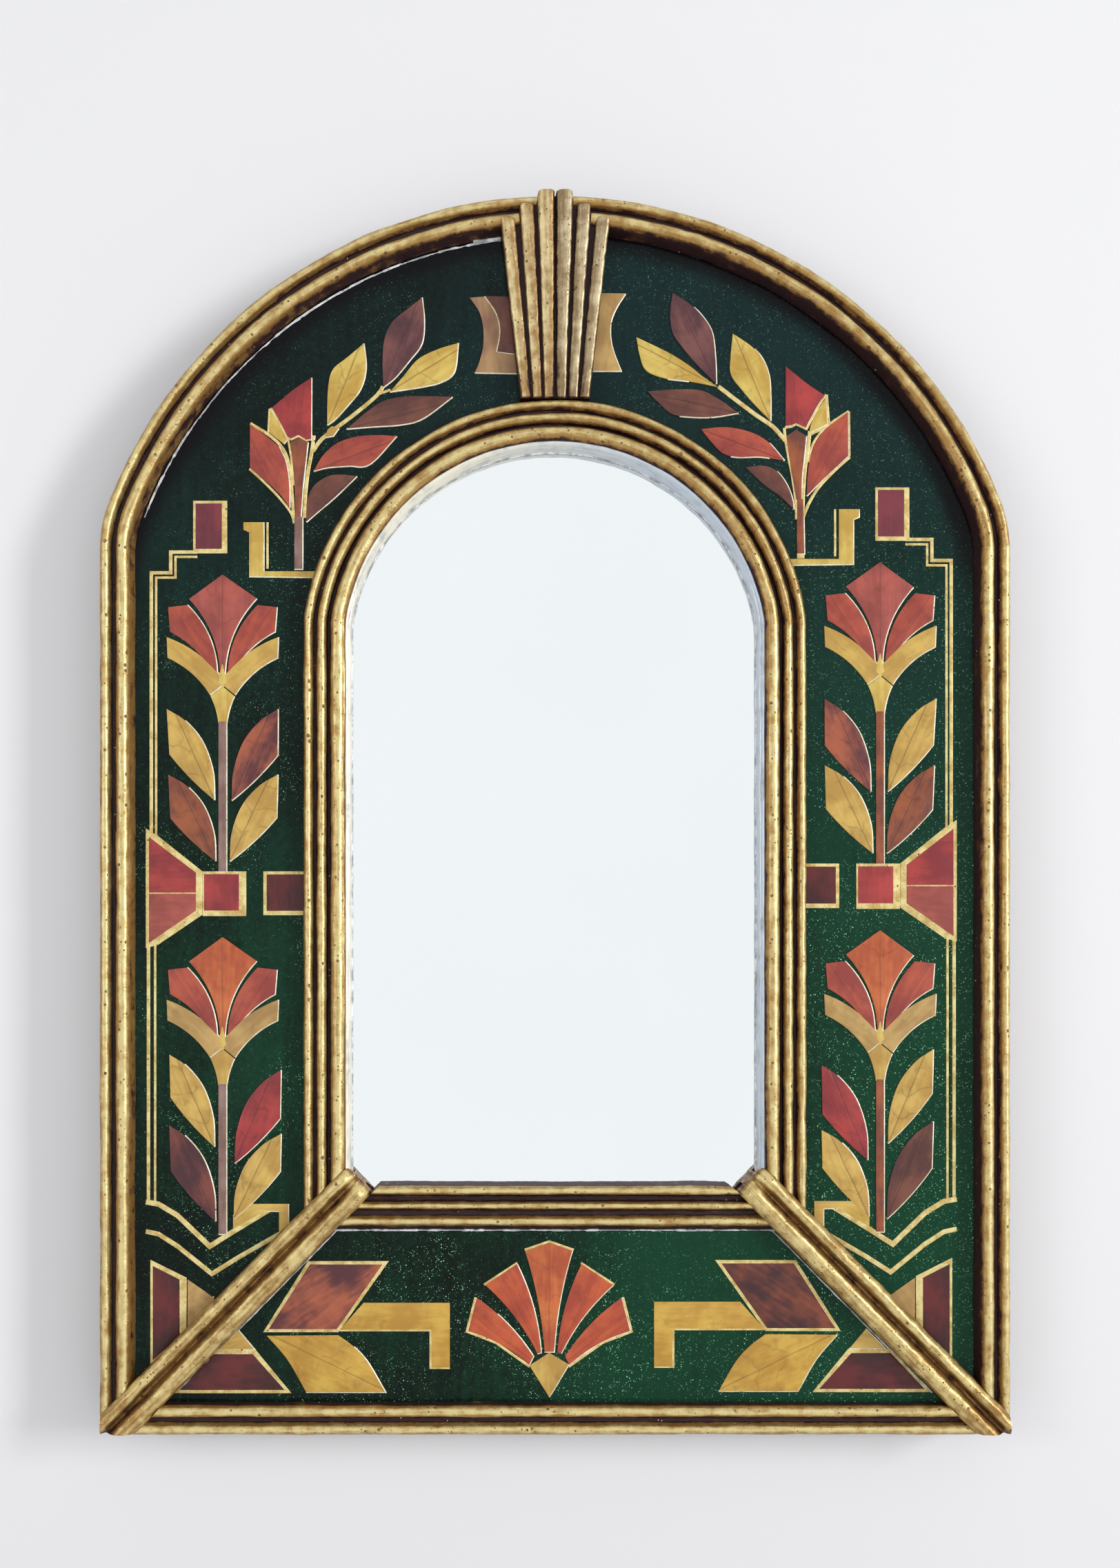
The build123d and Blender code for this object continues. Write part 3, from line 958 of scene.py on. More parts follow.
@dataclass(frozen=True)
class Section:
    """A moulding's section: ribs with grooves between them, then its inner side and its back."""

    ribs: tuple[Rib, ...]
    inner_side: tuple[Flat, ...]
    back: tuple[Flat, ...]
    floor: float = 5.6         # height of the grooves' floors
    rise: float = 2.1
    steps: int = 11
    inner_cover: float = 0.3   # how much leaf the inner side keeps, before its painted shade
    lean: float = 0.19         # how far a rib's painted highlight moves from its middle towards the light, over its width

    def outline(self) -> list[Flat]:
        """List the section's corners, in order round it.

        Returns:
            Their places across and forward of the board, in millimetres.
        """
        points: list[Flat] = []
        for order, rib in enumerate(self.ribs):
            for at in range(self.steps + 1):
                across = rib.start + rib.width * at / self.steps
                points.append((across, rib.height(across, self.rise)))
            if order + 1 < len(self.ribs):
                end, following = rib.start + rib.width, self.ribs[order + 1].start
                gap = following - end
                points += [(end + 0.06 * gap, self.floor + 1.0), (end + 0.22 * gap, self.floor + 0.15),
                           (end + 0.5 * gap, self.floor), (following - 0.22 * gap, self.floor + 0.15),
                           (following - 0.06 * gap, self.floor + 1.0)]
        return points + list(self.inner_side) + list(self.back)

    def cover(self, across: float, height: float, toward_light: float) -> float:
        """How much gold leaf a place of the section keeps, with painted light and shade by the way it faces
        the light.

        Args:
            across: Place from the outer edge, in millimetres.
            height: Height in front of the board, in millimetres.
            toward_light: How far the outer side faces the light, from -1 to 1.

        Returns:
            1 on a crest and 0 in a groove.
        """
        last = self.ribs[-1]
        for rib in self.ribs:
            if rib.start - 0.25 <= across <= rib.start + rib.width + 0.25:
                share = (across - rib.start) / rib.width
                # painted highlight: the leaf is thickest on the side of the rib that faces the light
                peak = 0.5 - self.lean * toward_light
                lean = 1 - 0.70 * (abs(share - peak) / max(peak, 1 - peak)) ** 1.7
                depth = (rib.crest - height) / self.rise
                if depth <= 1.12:
                    return lean * (1 - max(0.0, min(1.0, depth)) * 0.3)
                outside = rib is self.ribs[0] and across < rib.start + 0.4
                return 0.38 if outside else 0.06
        # painted shade: an inner side turned away from the light goes dark
        if across > last.start + last.width:
            return self.inner_cover * max(0.0, 0.55 - 0.6 * toward_light)
        return 0.0


OUTER_SECTION = Section(
    ribs=(Rib(0.0, 4.0, 8.8), Rib(6.1, 5.0, 10.0)),
    inner_side=((11.4, 7.0), (11.8, 5.7), (12.1, 4.6), (12.4, 3.4)),
    back=((12.4, 3.0), (9.6, 3.0), (9.6, 0.0), (0.0, 0.0), (0.0, 2.2), (0.0, 4.6)))
INNER_SECTION = Section(
    ribs=(Rib(0.0, 3.5, 8.8), Rib(4.9, 3.7, 9.3), Rib(10.0, 5.3, 10.0)),
    inner_side=((15.5, 6.4), (16.4, 5.4)),
    back=((16.8, 0.0), (3.6, 0.0), (3.6, 3.0), (0.0, 3.0), (0.0, 4.9)))
OUTER_RAIL = Section(
    ribs=(Rib(0.0, 4.1, 8.8), Rib(6.7, 4.3, 10.0)),
    inner_side=((11.0, 6.8), (11.1, 5.0), (11.2, 3.6)),
    back=((11.2, 3.0), (9.6, 3.0), (9.6, 0.0), (0.0, 0.0), (0.0, 2.2), (0.0, 4.6)),
    inner_cover=1.0)
INNER_RAIL = Section(
    ribs=(Rib(1.7, 3.7, 8.4), Rib(7.9, 3.0, 9.2), Rib(13.3, 3.4, 9.9)),
    inner_side=((16.8, 7.0), (16.8, 5.4)),
    back=((16.8, 0.0), (3.6, 0.0), (3.6, 3.0), (0.0, 3.0), (0.3, 3.5), (0.9, 5.0)))


# ---- sub-assemblies
@dataclass
class Mouldings:
    """The gilded mouldings round the border or round the glass."""

    line: ArchLine
    section: Section
    rail_section: Section
    label: str
    leaf: Material
    ring_step: float = 1.15 * MM
    batten_half: float = 6.75 * MM     # a rail or stile ends a little under the batten's edge
    keystone_edges: Flat = (6.7 * MM, 13.0 * MM)      # where the outer and the inner rib end
    inner_rib_start: float = 4.6 * MM
    hidden_height: float = 6.8 * MM    # height of the inner rib's end, under the keystone's block
    lit_side: Vector = field(default_factory=lambda: Vector((0.90, 0.43)))    # towards the light; ribs are painted lighter on the side that faces it
    layers: tuple[Flat, ...] = ((21 * MM, 0.7 * MM), (5.2 * MM, 0.24 * MM), (1.9 * MM, 0.2 * MM))

    def ring(self, section: Section, name: str, x: float, z: float, turn: float) -> Bench:
        """Set a section up at a place of the outline.

        Args:
            section: The section.
            name: Name of the piece.
            x: Place of the section's outer edge, across.
            z: The same, upwards.
            turn: 0 where the moulding runs up, and -90 degrees where it runs to the right.

        Returns:
            A bench with the section as an open ring.
        """
        inward = Vector((-math.cos(turn), 0, -math.sin(turn)))
        points = [Vector((x, BOARD_FRONT, z)) + inward * across * MM - Vector((0, height * MM, 0))
                  for across, height in section.outline()]
        return Bench(name, points)

    def steps(self, length: float) -> int:
        """Number of rings in a length."""
        return max(2, round(length / self.ring_step))

    def measure(self, point: Vector) -> Run:
        """Measure a point of a stile or an arch.

        Args:
            point: The point.

        Returns:
            Distance along the outline, distance inside it, and how much leaf the place keeps, with painted
            light and shade by the way it faces the light.
        """
        along, across = self.line.measure(point.x, point.z)
        straight = point.z < self.line.shoulder_z
        outward = Vector((point.x, 0.0 if straight else max(0.0, point.z - self.line.centre)))
        toward_light = outward.normalized().dot(self.lit_side)
        # painted shade: the arches are a shade darker, most on the side that faces the light
        arch_shade = 1.0 if outward.y == 0.0 else 0.90 - 0.10 * toward_light
        return (along, across,
                self.section.cover(across / MM, (BOARD_FRONT - point.y) / MM, toward_light) * arch_shade)

    def measure_rail(self, point: Vector) -> Run:
        """Measure a point of a rail."""
        across = point.z - self.line.foot
        # the rail's upper side faces the light and is painted lighter
        return point.x, across, self.rail_section.cover(across / MM, (BOARD_FRONT - point.y) / MM,
                                                        -self.lit_side.y)

    def batten_cut(self, bench: Bench, side: int, above: bool) -> None:
        """Trim a moulding to a batten's edge.

        Args:
            bench: The moulding.
            side: -1 for the left batten and 1 for the right one.
            above: Whether what lies above the batten is kept.
        """
        upward = Vector((side * math.sin(BATTEN_ANGLE), 0, math.cos(BATTEN_ANGLE)))
        half = self.batten_half if above else -self.batten_half
        point = Vector((side * BATTEN_FOOT_X, 0, FOOT_Z)) + upward * half
        bench.trim(point, -upward if above else upward)

    def arch(self, name: str, whole: bool) -> Bench:
        """Sweep an arch, to its left shoulder if it is whole and else to its crown."""
        bench = self.ring(self.section, name, self.line.half_width, self.line.shoulder_z, 0.0)
        return bench.bend(self.line, self.ring_step, whole)

    def finish(self, bench: Bench, measure: Callable[[Vector], Run]) -> Piece:
        """Map, wear and close a swept moulding."""
        return bench.lay_run(measure).relief(*self.layers, level=0.55).done()

    def pair(self, bench: Bench, part: str) -> None:
        """Finish and dress a right-hand moulding and its left-hand copy, each worn in its own way.

        Args:
            bench: The right-hand moulding.
            part: Which moulding it is.
        """
        bench.leave()
        left = mirrored(bench.object, f"gilt_{self.label}_{part}_left")
        for side, piece in (("left", left), ("right", bench.object)):
            dress(self.finish(Bench.reopen(piece), self.measure), self.leaf, "gilt_wood",
                  f"{self.label}_{part}_{side}")

    def build(self) -> None:
        """Model and dress the four sides."""
        line, label = self.line, self.label
        height = line.shoulder_z - line.foot
        stile = self.ring(self.section, f"gilt_{label}_stile_right", line.half_width, line.foot, 0.0)
        stile.pull((0, 0, height / self.steps(height)), self.steps(height))
        self.batten_cut(stile, 1, above=True)
        self.pair(stile, "stile")

        if label == "outer":
            arch = self.arch(f"gilt_{label}_arch_right", whole=False)
            arch.trim((self.keystone_edges[0], 0, 0), (-1, 0, 0))
            arch.leave()
            for vertex in arch.object.data.vertices:
                across = line.measure(vertex.co.x, vertex.co.z)[1]
                if vertex.co.x < self.keystone_edges[1] and across > self.inner_rib_start:
                    vertex.co.y = max(vertex.co.y, BOARD_FRONT - self.hidden_height)
            arch.edit()
            self.pair(arch, "arch")
        else:
            arch = self.arch(f"gilt_{label}_arch", whole=True)
            dress(self.finish(arch, self.measure), self.leaf, "gilt_wood", f"{label}_arch")

        rail = self.ring(self.rail_section, f"gilt_{label}_bottom_rail", -line.half_width, line.foot,
                         -QUARTER)
        width = 2 * line.half_width
        rail.pull((width / self.steps(width), 0, 0), self.steps(width))
        for side in (-1, 1):
            self.batten_cut(rail, side, above=False)
        dress(self.finish(rail, self.measure_rail), self.leaf, "gilt_wood", f"{label}_bottom_rail")


@dataclass
class CornerBattens:
    """The two grooved battens that lie over the panels' lower joints."""

    leaf: Material
    width: float = 14.0        # of the section, in millimetres
    crest: float = 11.4
    length: float = 131.9 * MM
    start: float = -14 * MM
    nose: float = 4.5 * MM     # length of the rounded upper end
    nose_drop: float = 3.4 * MM
    underside: float = 3.0 * MM
    groove_end: float = 8.5 * MM
    groove_fill: float = 1.7 * MM
    groove_width: float = 0.17
    groove_at: float = 0.9     # groove's place above the middle, in millimetres
    margin: float = 0.9 * MM
    ring_step: float = 1.1 * MM
    steps: int = 60

    def section(self) -> list[Flat]:
        """List the section's corners, in order round it.

        Returns:
            Their places across from the lower side and forward of the board, in millimetres.
        """
        points = []
        for at in range(self.steps + 1):
            across = self.width * at / self.steps
            bead = self.bead(across - self.width / 2)
            swell = 1 - (abs(bead - 0.52) / 0.48) ** 2.6
            groove = 1.71 * math.exp(-(bead / self.groove_width) ** 2)
            points.append((across, self.crest - 2.4 * (1 - max(0.0, swell)) ** 0.9 - groove))
        return points + [(self.width, 7.2), (self.width, 5.0), (self.width, 3.0), (10.0, 3.0),
                         (10.0, 0.0), (4.0, 0.0), (4.0, 3.0), (0.0, 3.0), (0.0, 5.0), (0.0, 7.2)]

    def bead(self, place: float) -> float:
        """How far a place lies from the groove, in millimetres from the middle: 1 at a side."""
        offset = place - self.groove_at
        return abs(offset) / (self.width / 2 - math.copysign(self.groove_at, offset))

    def axes(self) -> tuple[Vector, Vector, Vector]:
        """The right batten's foot and its directions along and across, towards its upper side."""
        return (Vector((BATTEN_FOOT_X, BOARD_FRONT, FOOT_Z)),
                Vector((-math.cos(BATTEN_ANGLE), 0, math.sin(BATTEN_ANGLE))),
                Vector((math.sin(BATTEN_ANGLE), 0, math.cos(BATTEN_ANGLE))))

    def measure(self, point: Vector) -> Run:
        """Measure a point of the right batten.

        Args:
            point: The point.

        Returns:
            Distance along the batten, distance across it, and how much leaf the place keeps.
        """
        foot, along, across = self.axes()
        offset = point - foot
        reach = offset.dot(along)
        place = offset.dot(across) / MM
        bead = self.bead(place)
        groove = 1 - min(1.0, bead / 0.30)
        end = min(1.0, max(0.0, reach - (self.length - self.groove_end)) / self.groove_end)
        cover = ((0.84 if place > self.groove_at else 0.80) - 0.85 * groove * (1 - end)
                 - 1.6 * max(0.0, bead - 0.86))
        cover += 0.2 * end - 0.25 * max(0.0, 1 - reach / (26 * MM))
        if -offset.y / MM < self.crest - 3.2:      # the sides keep little
            cover = 0.32
        return reach, offset.dot(across), max(0.0, cover)

    def shape_end(self, piece: Piece) -> None:
        """Round the right batten's upper end and fill its groove there.

        Args:
            piece: The batten, in object mode.
        """
        foot, along, across = self.axes()
        for vertex in piece.data.vertices:
            offset = vertex.co - foot
            reach = offset.dot(along)
            share = (reach - (self.length - self.nose)) / self.nose
            height = -offset.y
            if share > 0 and height > self.underside + 0.5 * MM:
                keep = (height - self.underside) / (self.crest * MM - self.underside)
                vertex.co.y += self.nose_drop * share ** 1.6 * keep
            fill = (reach - (self.length - self.groove_end)) / self.groove_end
            bead = self.bead(offset.dot(across) / MM)
            if fill > 0 and bead < 0.4 and height > self.underside + 2 * MM:
                groove = math.exp(-(bead / self.groove_width) ** 2)
                vertex.co.y -= self.groove_fill * min(1.0, fill * 2.4) * groove

    def build(self) -> None:
        """Model and dress both battens."""
        foot, along, across = self.axes()
        lower = foot + along * self.start - across * self.width / 2 * MM
        points = [lower + across * place * MM - Vector((0, height * MM, 0))
                  for place, height in self.section()]
        bench = Bench("gilt_batten_right", points)
        length = self.length - self.start
        steps = round(length / self.ring_step)
        bench.pull(along * (length / steps), steps)
        bench.trim((OUTER.half_width - self.margin, 0, 0), (1, 0, 0))
        bench.trim((0, 0, FOOT_Z + self.margin), (0, 0, -1))
        bench.leave()
        self.shape_end(bench.object)
        bench.edit()
        bench.lay_run(self.measure)
        bench.leave()
        left = mirrored(bench.object, "gilt_batten_left")
        for piece, side in ((left, "left"), (bench.object, "right")):
            Bench.reopen(piece).relief((13 * MM, 0.7 * MM), (4.0 * MM, 0.5 * MM),
                                       (1.7 * MM, 0.28 * MM), level=0.6).done()
            dress(piece, self.leaf, "gilt_wood", f"corner_batten_{side}")


@dataclass
class Keystone:
    """The dark block and six tapered flutes over the arch, in millimetres."""

    bole: Material             # of the block
    warm: Material             # of the flutes on the left; a warmer copy of the same gold leaf, painted for the light on that side
    cool: Material             # of the flutes on the right; a greyer copy, painted for the light on that side
    foot: float = 380.4
    tops: tuple[float, ...] = (456.2, 451.3, 446.4)
    top_xs: tuple[float, ...] = (3.5, 10.5, 17.5)
    foot_xs: tuple[float, ...] = (2.125, 6.375, 10.625)
    top_widths: tuple[float, ...] = (6.6, 5.6, 5.6)
    foot_width: float = 3.95
    margin: float = 0.15       # how far the block stands out beside a flute
    block: float = 8.0         # thickness of the block
    fullness: float = 0.55     # a flute's height, over its width
    drop: float = 1.6          # length of a flute's rounded top
    facets: int = 16
    rings: int = 74

    def edge(self, order: int, z: float) -> float:
        """Find the block's edge beside a flute.

        Args:
            order: 0 next to the centre line and 2 outermost.
            z: Height above the foot of the frame.

        Returns:
            Distance from the centre line.
        """
        share = (z - self.foot) / (self.tops[order] - self.foot)
        centre = self.foot_xs[order] + share * (self.top_xs[order] - self.foot_xs[order])
        width = self.foot_width + share * (self.top_widths[order] - self.foot_width)
        return centre + width / 2 + self.margin

    def build_block(self) -> None:
        """Model and dress the stepped block."""
        corners = [(self.edge(2, self.foot), self.foot)]
        for order in (2, 1, 0):
            if order < 2:
                corners.append((self.edge(order, self.tops[order + 1]), self.tops[order + 1]))
            corners.append((self.edge(order, self.tops[order]) - 0.5, self.tops[order] - self.drop))
        corners += [(-x, z) for x, z in reversed(corners)]
        points = [(x * MM, BOARD_FRONT, FOOT_Z + z * MM) for x, z in corners]
        bench = Bench("keystone_ground", points, filled=True)
        bench.pull((0, -(self.block - 0.4) * MM, 0))
        bench.inset(0.35 * MM, 0.4 * MM)
        bench.cap()
        bench.lay_run(lambda point: (point.z, point.x, 0.12))
        dress(bench.done(30), self.bole, "gilt_wood", "keystone_block")

    def flute(self, number: int, side: int, order: int) -> Piece:
        """Model one flute.

        Args:
            number: Its place from the left, from 1.
            side: -1 on the left and 1 on the right.
            order: 0 next to the centre line and 2 outermost.

        Returns:
            The flute.
        """
        back = BOARD_FRONT - (self.block - 0.3) * MM
        foot = Vector((side * self.foot_xs[order] * MM, back, FOOT_Z + self.foot * MM))
        top = Vector((side * self.top_xs[order] * MM, back, FOOT_Z + self.tops[order] * MM))
        half = self.foot_width / 2 * MM
        points = []
        for at in range(self.facets + 1):
            angle = math.pi * at / self.facets
            reach = math.copysign(abs(math.cos(angle)) ** 0.7, math.cos(angle))
            points.append(foot + Vector((-half * reach,
                                         -2 * half * self.fullness * math.sin(angle) ** 0.38, 0)))
        points.append(foot + Vector((half * 0.5, 0, 0)))
        points.append(foot - Vector((half * 0.5, 0, 0)))
        bench = Bench(f"gilt_flute_{number}", points)
        length = (top - foot).length
        drop = self.drop * MM
        rise = (top - foot) * (1 - drop / length)
        growth = self.top_widths[order] / self.foot_width - 1
        for ring in range(1, self.rings + 1):
            bench.pull(rise / self.rings)
            ratio = (1 + growth * ring / self.rings) / (1 + growth * (ring - 1) / self.rings)
            bench.size((ratio, ratio, 1), foot + rise * (ring / self.rings))
        for shrink in (0.99, 0.965, 0.92, 0.82):
            bench.pull((0, 0, drop * 0.25))
            bench.size((shrink, shrink, 1), foot + rise)
        direction = (top - foot).normalized()

        def measure(point: Vector) -> Run:
            """Measure a point of the flute.

            Args:
                point: The point.

            Returns:
                Distance along the flute, distance across it, and how much leaf the place keeps.
            """
            along = (point - foot).dot(direction)
            across = point.x - (foot.x + (top.x - foot.x) * along / length)
            share = max(-1.0, min(1.0, across / (half * (1 + growth * along / length))))
            cover = 0.74 - 0.5 * abs(share) ** 6 + 0.30 * share * side
            return along + number * 0.2, across, cover - 0.25 * max(0.0, 1 - along / (20 * MM))

        bench.lay_run(measure)
        bench.relief((11 * MM, 0.5 * MM), (3.6 * MM, 0.3 * MM), (1.3 * MM, 0.36 * MM), level=0.7)
        return bench.done()

    def build(self) -> None:
        """Model and dress the keystone."""
        self.build_block()
        places = ((-1, 2), (-1, 1), (-1, 0), (1, 0), (1, 1), (1, 2))
        for number, (side, order) in enumerate(places, start=1):
            dress(self.flute(number, side, order), self.warm if side < 0 else self.cool, "gilt_wood",
                  f"keystone_flute_{number}")


@dataclass
class Recess:
    """The silvered wall between the inner moulding and the glass, and the bead at its foot."""

    silver: Material
    resin: Material
    line: ArchLine = INNER.inset(16.8 * MM)
    ring_step: float = 1.3 * MM

    def sweep(self, name: str, profile: Sequence[Flat]) -> Bench:
        """Sweep a profile up the right side, over the arch and down the left.

        Args:
            name: Name of the piece.
            profile: Corners in millimetres inside the sight line and forward of the board.

        Returns:
            A bench with the swept profile.
        """
        line = self.line
        points = [Vector((line.half_width - across * MM, BOARD_FRONT - height * MM, line.foot))
                  for across, height in profile]
        rise = line.shoulder_z - line.foot
        steps = round(rise / self.ring_step)
        bench = Bench(name, points).pull((0, 0, rise / steps), steps)
        return bench.bend(line, self.ring_step).pull((0, 0, -rise / steps), steps)

    def measure(self, point: Vector) -> Run:
        """Measure a point of the wall."""
        along, across = self.line.measure(point.x, point.z)
        return math.copysign(along, point.x), across - point.y, 1.0

    def build(self) -> None:
        """Model and dress the wall and the bead."""
        wall = self.sweep("silvered_recess_wall",
                          ((-1.9, 6.2), (-1.7, 7.3), (-1.1, 7.9), (-0.3, 7.6), (0.15, 6.8), (0.3, 5.2),
                           (0.35, 4.0), (0.4, 2.8), (0.45, 1.6), (0.55, 0.8), (0.8, 0.1), (-0.6, 0.1)))
        wall.lay_run(self.measure).relief((9 * MM, 0.5 * MM), (2.8 * MM, 0.2 * MM), level=0.6)
        dress(wall.done(), self.silver, "gilt_wood")
        bead = self.sweep("glass_bead",
                          ((0.1, 0.95), (0.6, 1.0), (1.0, 0.8), (1.25, 0.45), (1.35, 0.05), (0.1, 0.05)))
        bead.lay_run(self.measure).relief((5 * MM, 0.55 * MM), (1.9 * MM, 0.2 * MM))
        dress(bead.done(), self.resin, "gilt_wood")


class Tone(Enum):
    """Stained tones of the inlay: a lighter and a deeper colour, along the grain."""

    RED = ("b2403c", "862c31")
    TILE = ("80363f", "652832")
    ROSE = ("b45b4f", "93453e")
    ORANGE = ("d2743f", "ae5030")
    EMBER = ("b85640", "903b34")
    FIRE = ("cd6238", "a84430")
    RUSSET = ("a65c36", "6c3b30")
    BROWN = ("7c4a3a", "55302b")
    PLUM = ("7c4d49", "4f2c31")
    PLUM_FIRE = ("ae5e42", "55292f")
    DARK_FIRE = ("8a4730", "3f2124")
    WINE = ("7d4238", "472429")
    MAROON = ("682223", "3b1517")
    GOLD = ("d9b65f", "b78f45")
    BRIGHT_GOLD = ("dec469", "bf9944")
    HONEY = ("d8b04e", "b88a36")
    TAN = ("c8a465", "a4804a")
    ROSE_TAN = ("b18d62", "8a6450")
    MAUVE = ("9c7f76", "77584e")


def curve(points: Sequence[Flat], step: float = 1.1) -> list[Flat]:
    """Draw a smooth curve through points.

    Args:
        points: Points that it passes through, in order.
        step: Spacing of the result, in the same unit.

    Returns:
        Points along the curve, both ends among them.
    """
    if len(points) < 3:
        return [tuple(point) for point in points]
    knots = [Vector(point) for point in points]
    knots = [2 * knots[0] - knots[1], *knots, 2 * knots[-1] - knots[-2]]
    drawn: list[Flat] = []
    for p0, p1, p2, p3 in zip(knots, knots[1:], knots[2:], knots[3:]):
        count = max(2, round((p2 - p1).length / step))
        for at in range(count):
            t = at / count
            drawn.append(tuple(0.5 * (2 * p1 + (p2 - p0) * t + (2 * p0 - 5 * p1 + 4 * p2 - p3) * t * t
                                      + (3 * p1 - p0 - 3 * p2 + p3) * t ** 3)))
    return drawn + [tuple(knots[-2])]


@dataclass(frozen=True)
class Plate:
    """A flat inlay shape, drawn in millimetres from the centre line and above the foot."""

    corners: tuple[tuple[float, ...], ...]    # a third number marks a smooth point of a curve
    tone: Tone | None = None                  # None makes a gilt line
    axis: tuple[Flat, Flat] | None = None     # foot and tip of the midrib, which the grain follows
    bows: tuple[float, ...] = ()              # how far each side bows out to its right, over its length
    edged: bool = True                        # whether a painted highlight, a pale line, follows its edges that face the light
    veins: float = 0.0                        # how clearly its veins show

    def outline(self) -> list[Flat]:
        """Draw the outline with its curves and bows.

        Returns:
            Its points, anticlockwise.
        """
        count = len(self.corners)
        start = next(at for at, corner in enumerate(self.corners) if len(corner) == 2)
        order = [self.corners[(start + at) % count] for at in range(count + 1)]
        points: list[Flat] = []
        run = [order[0][:2]]
        for at, corner in enumerate(order[1:]):
            run.append(corner[:2])
            if len(corner) == 2:
                bow = self.bows[at] if at < len(self.bows) else 0.0
                points += (self.bowed(run, bow) if bow else curve(run))[:-1]
                run = [corner[:2]]
        area = sum(a[0] * b[1] - b[0] * a[1] for a, b in zip(points, points[1:] + points[:1]))
        return points if area > 0 else points[::-1]

    @staticmethod
    def bowed(run: Sequence[Flat], bow: float, step: float = 1.4) -> list[Flat]:
        """Bow a straight side.

        Args:
            run: Both ends of the side.
            bow: How far it bows out to its right, over its length.
            step: Spacing of the result, in the same unit.

        Returns:
            Points along the bowed side, both ends among them.
        """
        (x0, z0), (x1, z1) = run
        pieces = max(2, round(math.hypot(x1 - x0, z1 - z0) / step))
        points = []
        for at in range(pieces + 1):
            share = at / pieces
            swing = 4 * bow * share * (1 - share)
            points.append((x0 + (x1 - x0) * share + (z1 - z0) * swing,
                           z0 + (z1 - z0) * share - (x1 - x0) * swing))
        return points

    def moved(self, move: Callable[[Flat], Flat], turned: bool = False) -> "Plate":
        """Copy the plate to another place.

        Args:
            move: Gives the new place of a point.
            turned: Whether the move turns left into right, which turns the bows round.

        Returns:
            The copy.
        """
        return Plate(tuple((*move(corner[:2]), *corner[2:]) for corner in self.corners), self.tone,
                     tuple(move(end) for end in self.axis) if self.axis else None,
                     tuple(-bow for bow in self.bows) if turned else self.bows, self.edged,
                     self.veins)


def stroke(points: Sequence[Flat], width: float, smooth: bool = False) -> tuple[Flat, ...]:
    """Outline a line of a given width.

    Args:
        points: The line's centre, from end to end.
        width: Its width, in the same unit.
        smooth: Whether it runs through its points in a curve.

    Returns:
        The corners of its outline.
    """
    if smooth:
        points = curve(points, 2.0)
    left, right = [], []
    for at, point in enumerate(points):
        before = Vector(point) - Vector(points[at - 1]) if at else None
        after = Vector(points[at + 1]) - Vector(point) if at + 1 < len(points) else None
        first = (before or after).normalized()
        second = (after or before).normalized()
        along = (first + second).normalized()
        normal = Vector((-along.y, along.x))
        reach = width / 2 / max(0.45, normal.dot(Vector((-first.y, first.x))))
        left.append(tuple(Vector(point) + normal * reach))
        right.append(tuple(Vector(point) - normal * reach))
    return tuple(left + right[::-1])


def soft(*points: Flat) -> tuple[tuple[float, ...], ...]:
    """Mark points as smooth points of a curve."""
    return tuple((x, z, 1.0) for x, z in points)


def gilt(points: Sequence[Flat], width: float, smooth: bool = False) -> Plate:
    """Draw a gilt line, from what stroke takes."""
    return Plate(stroke(points, width, smooth))


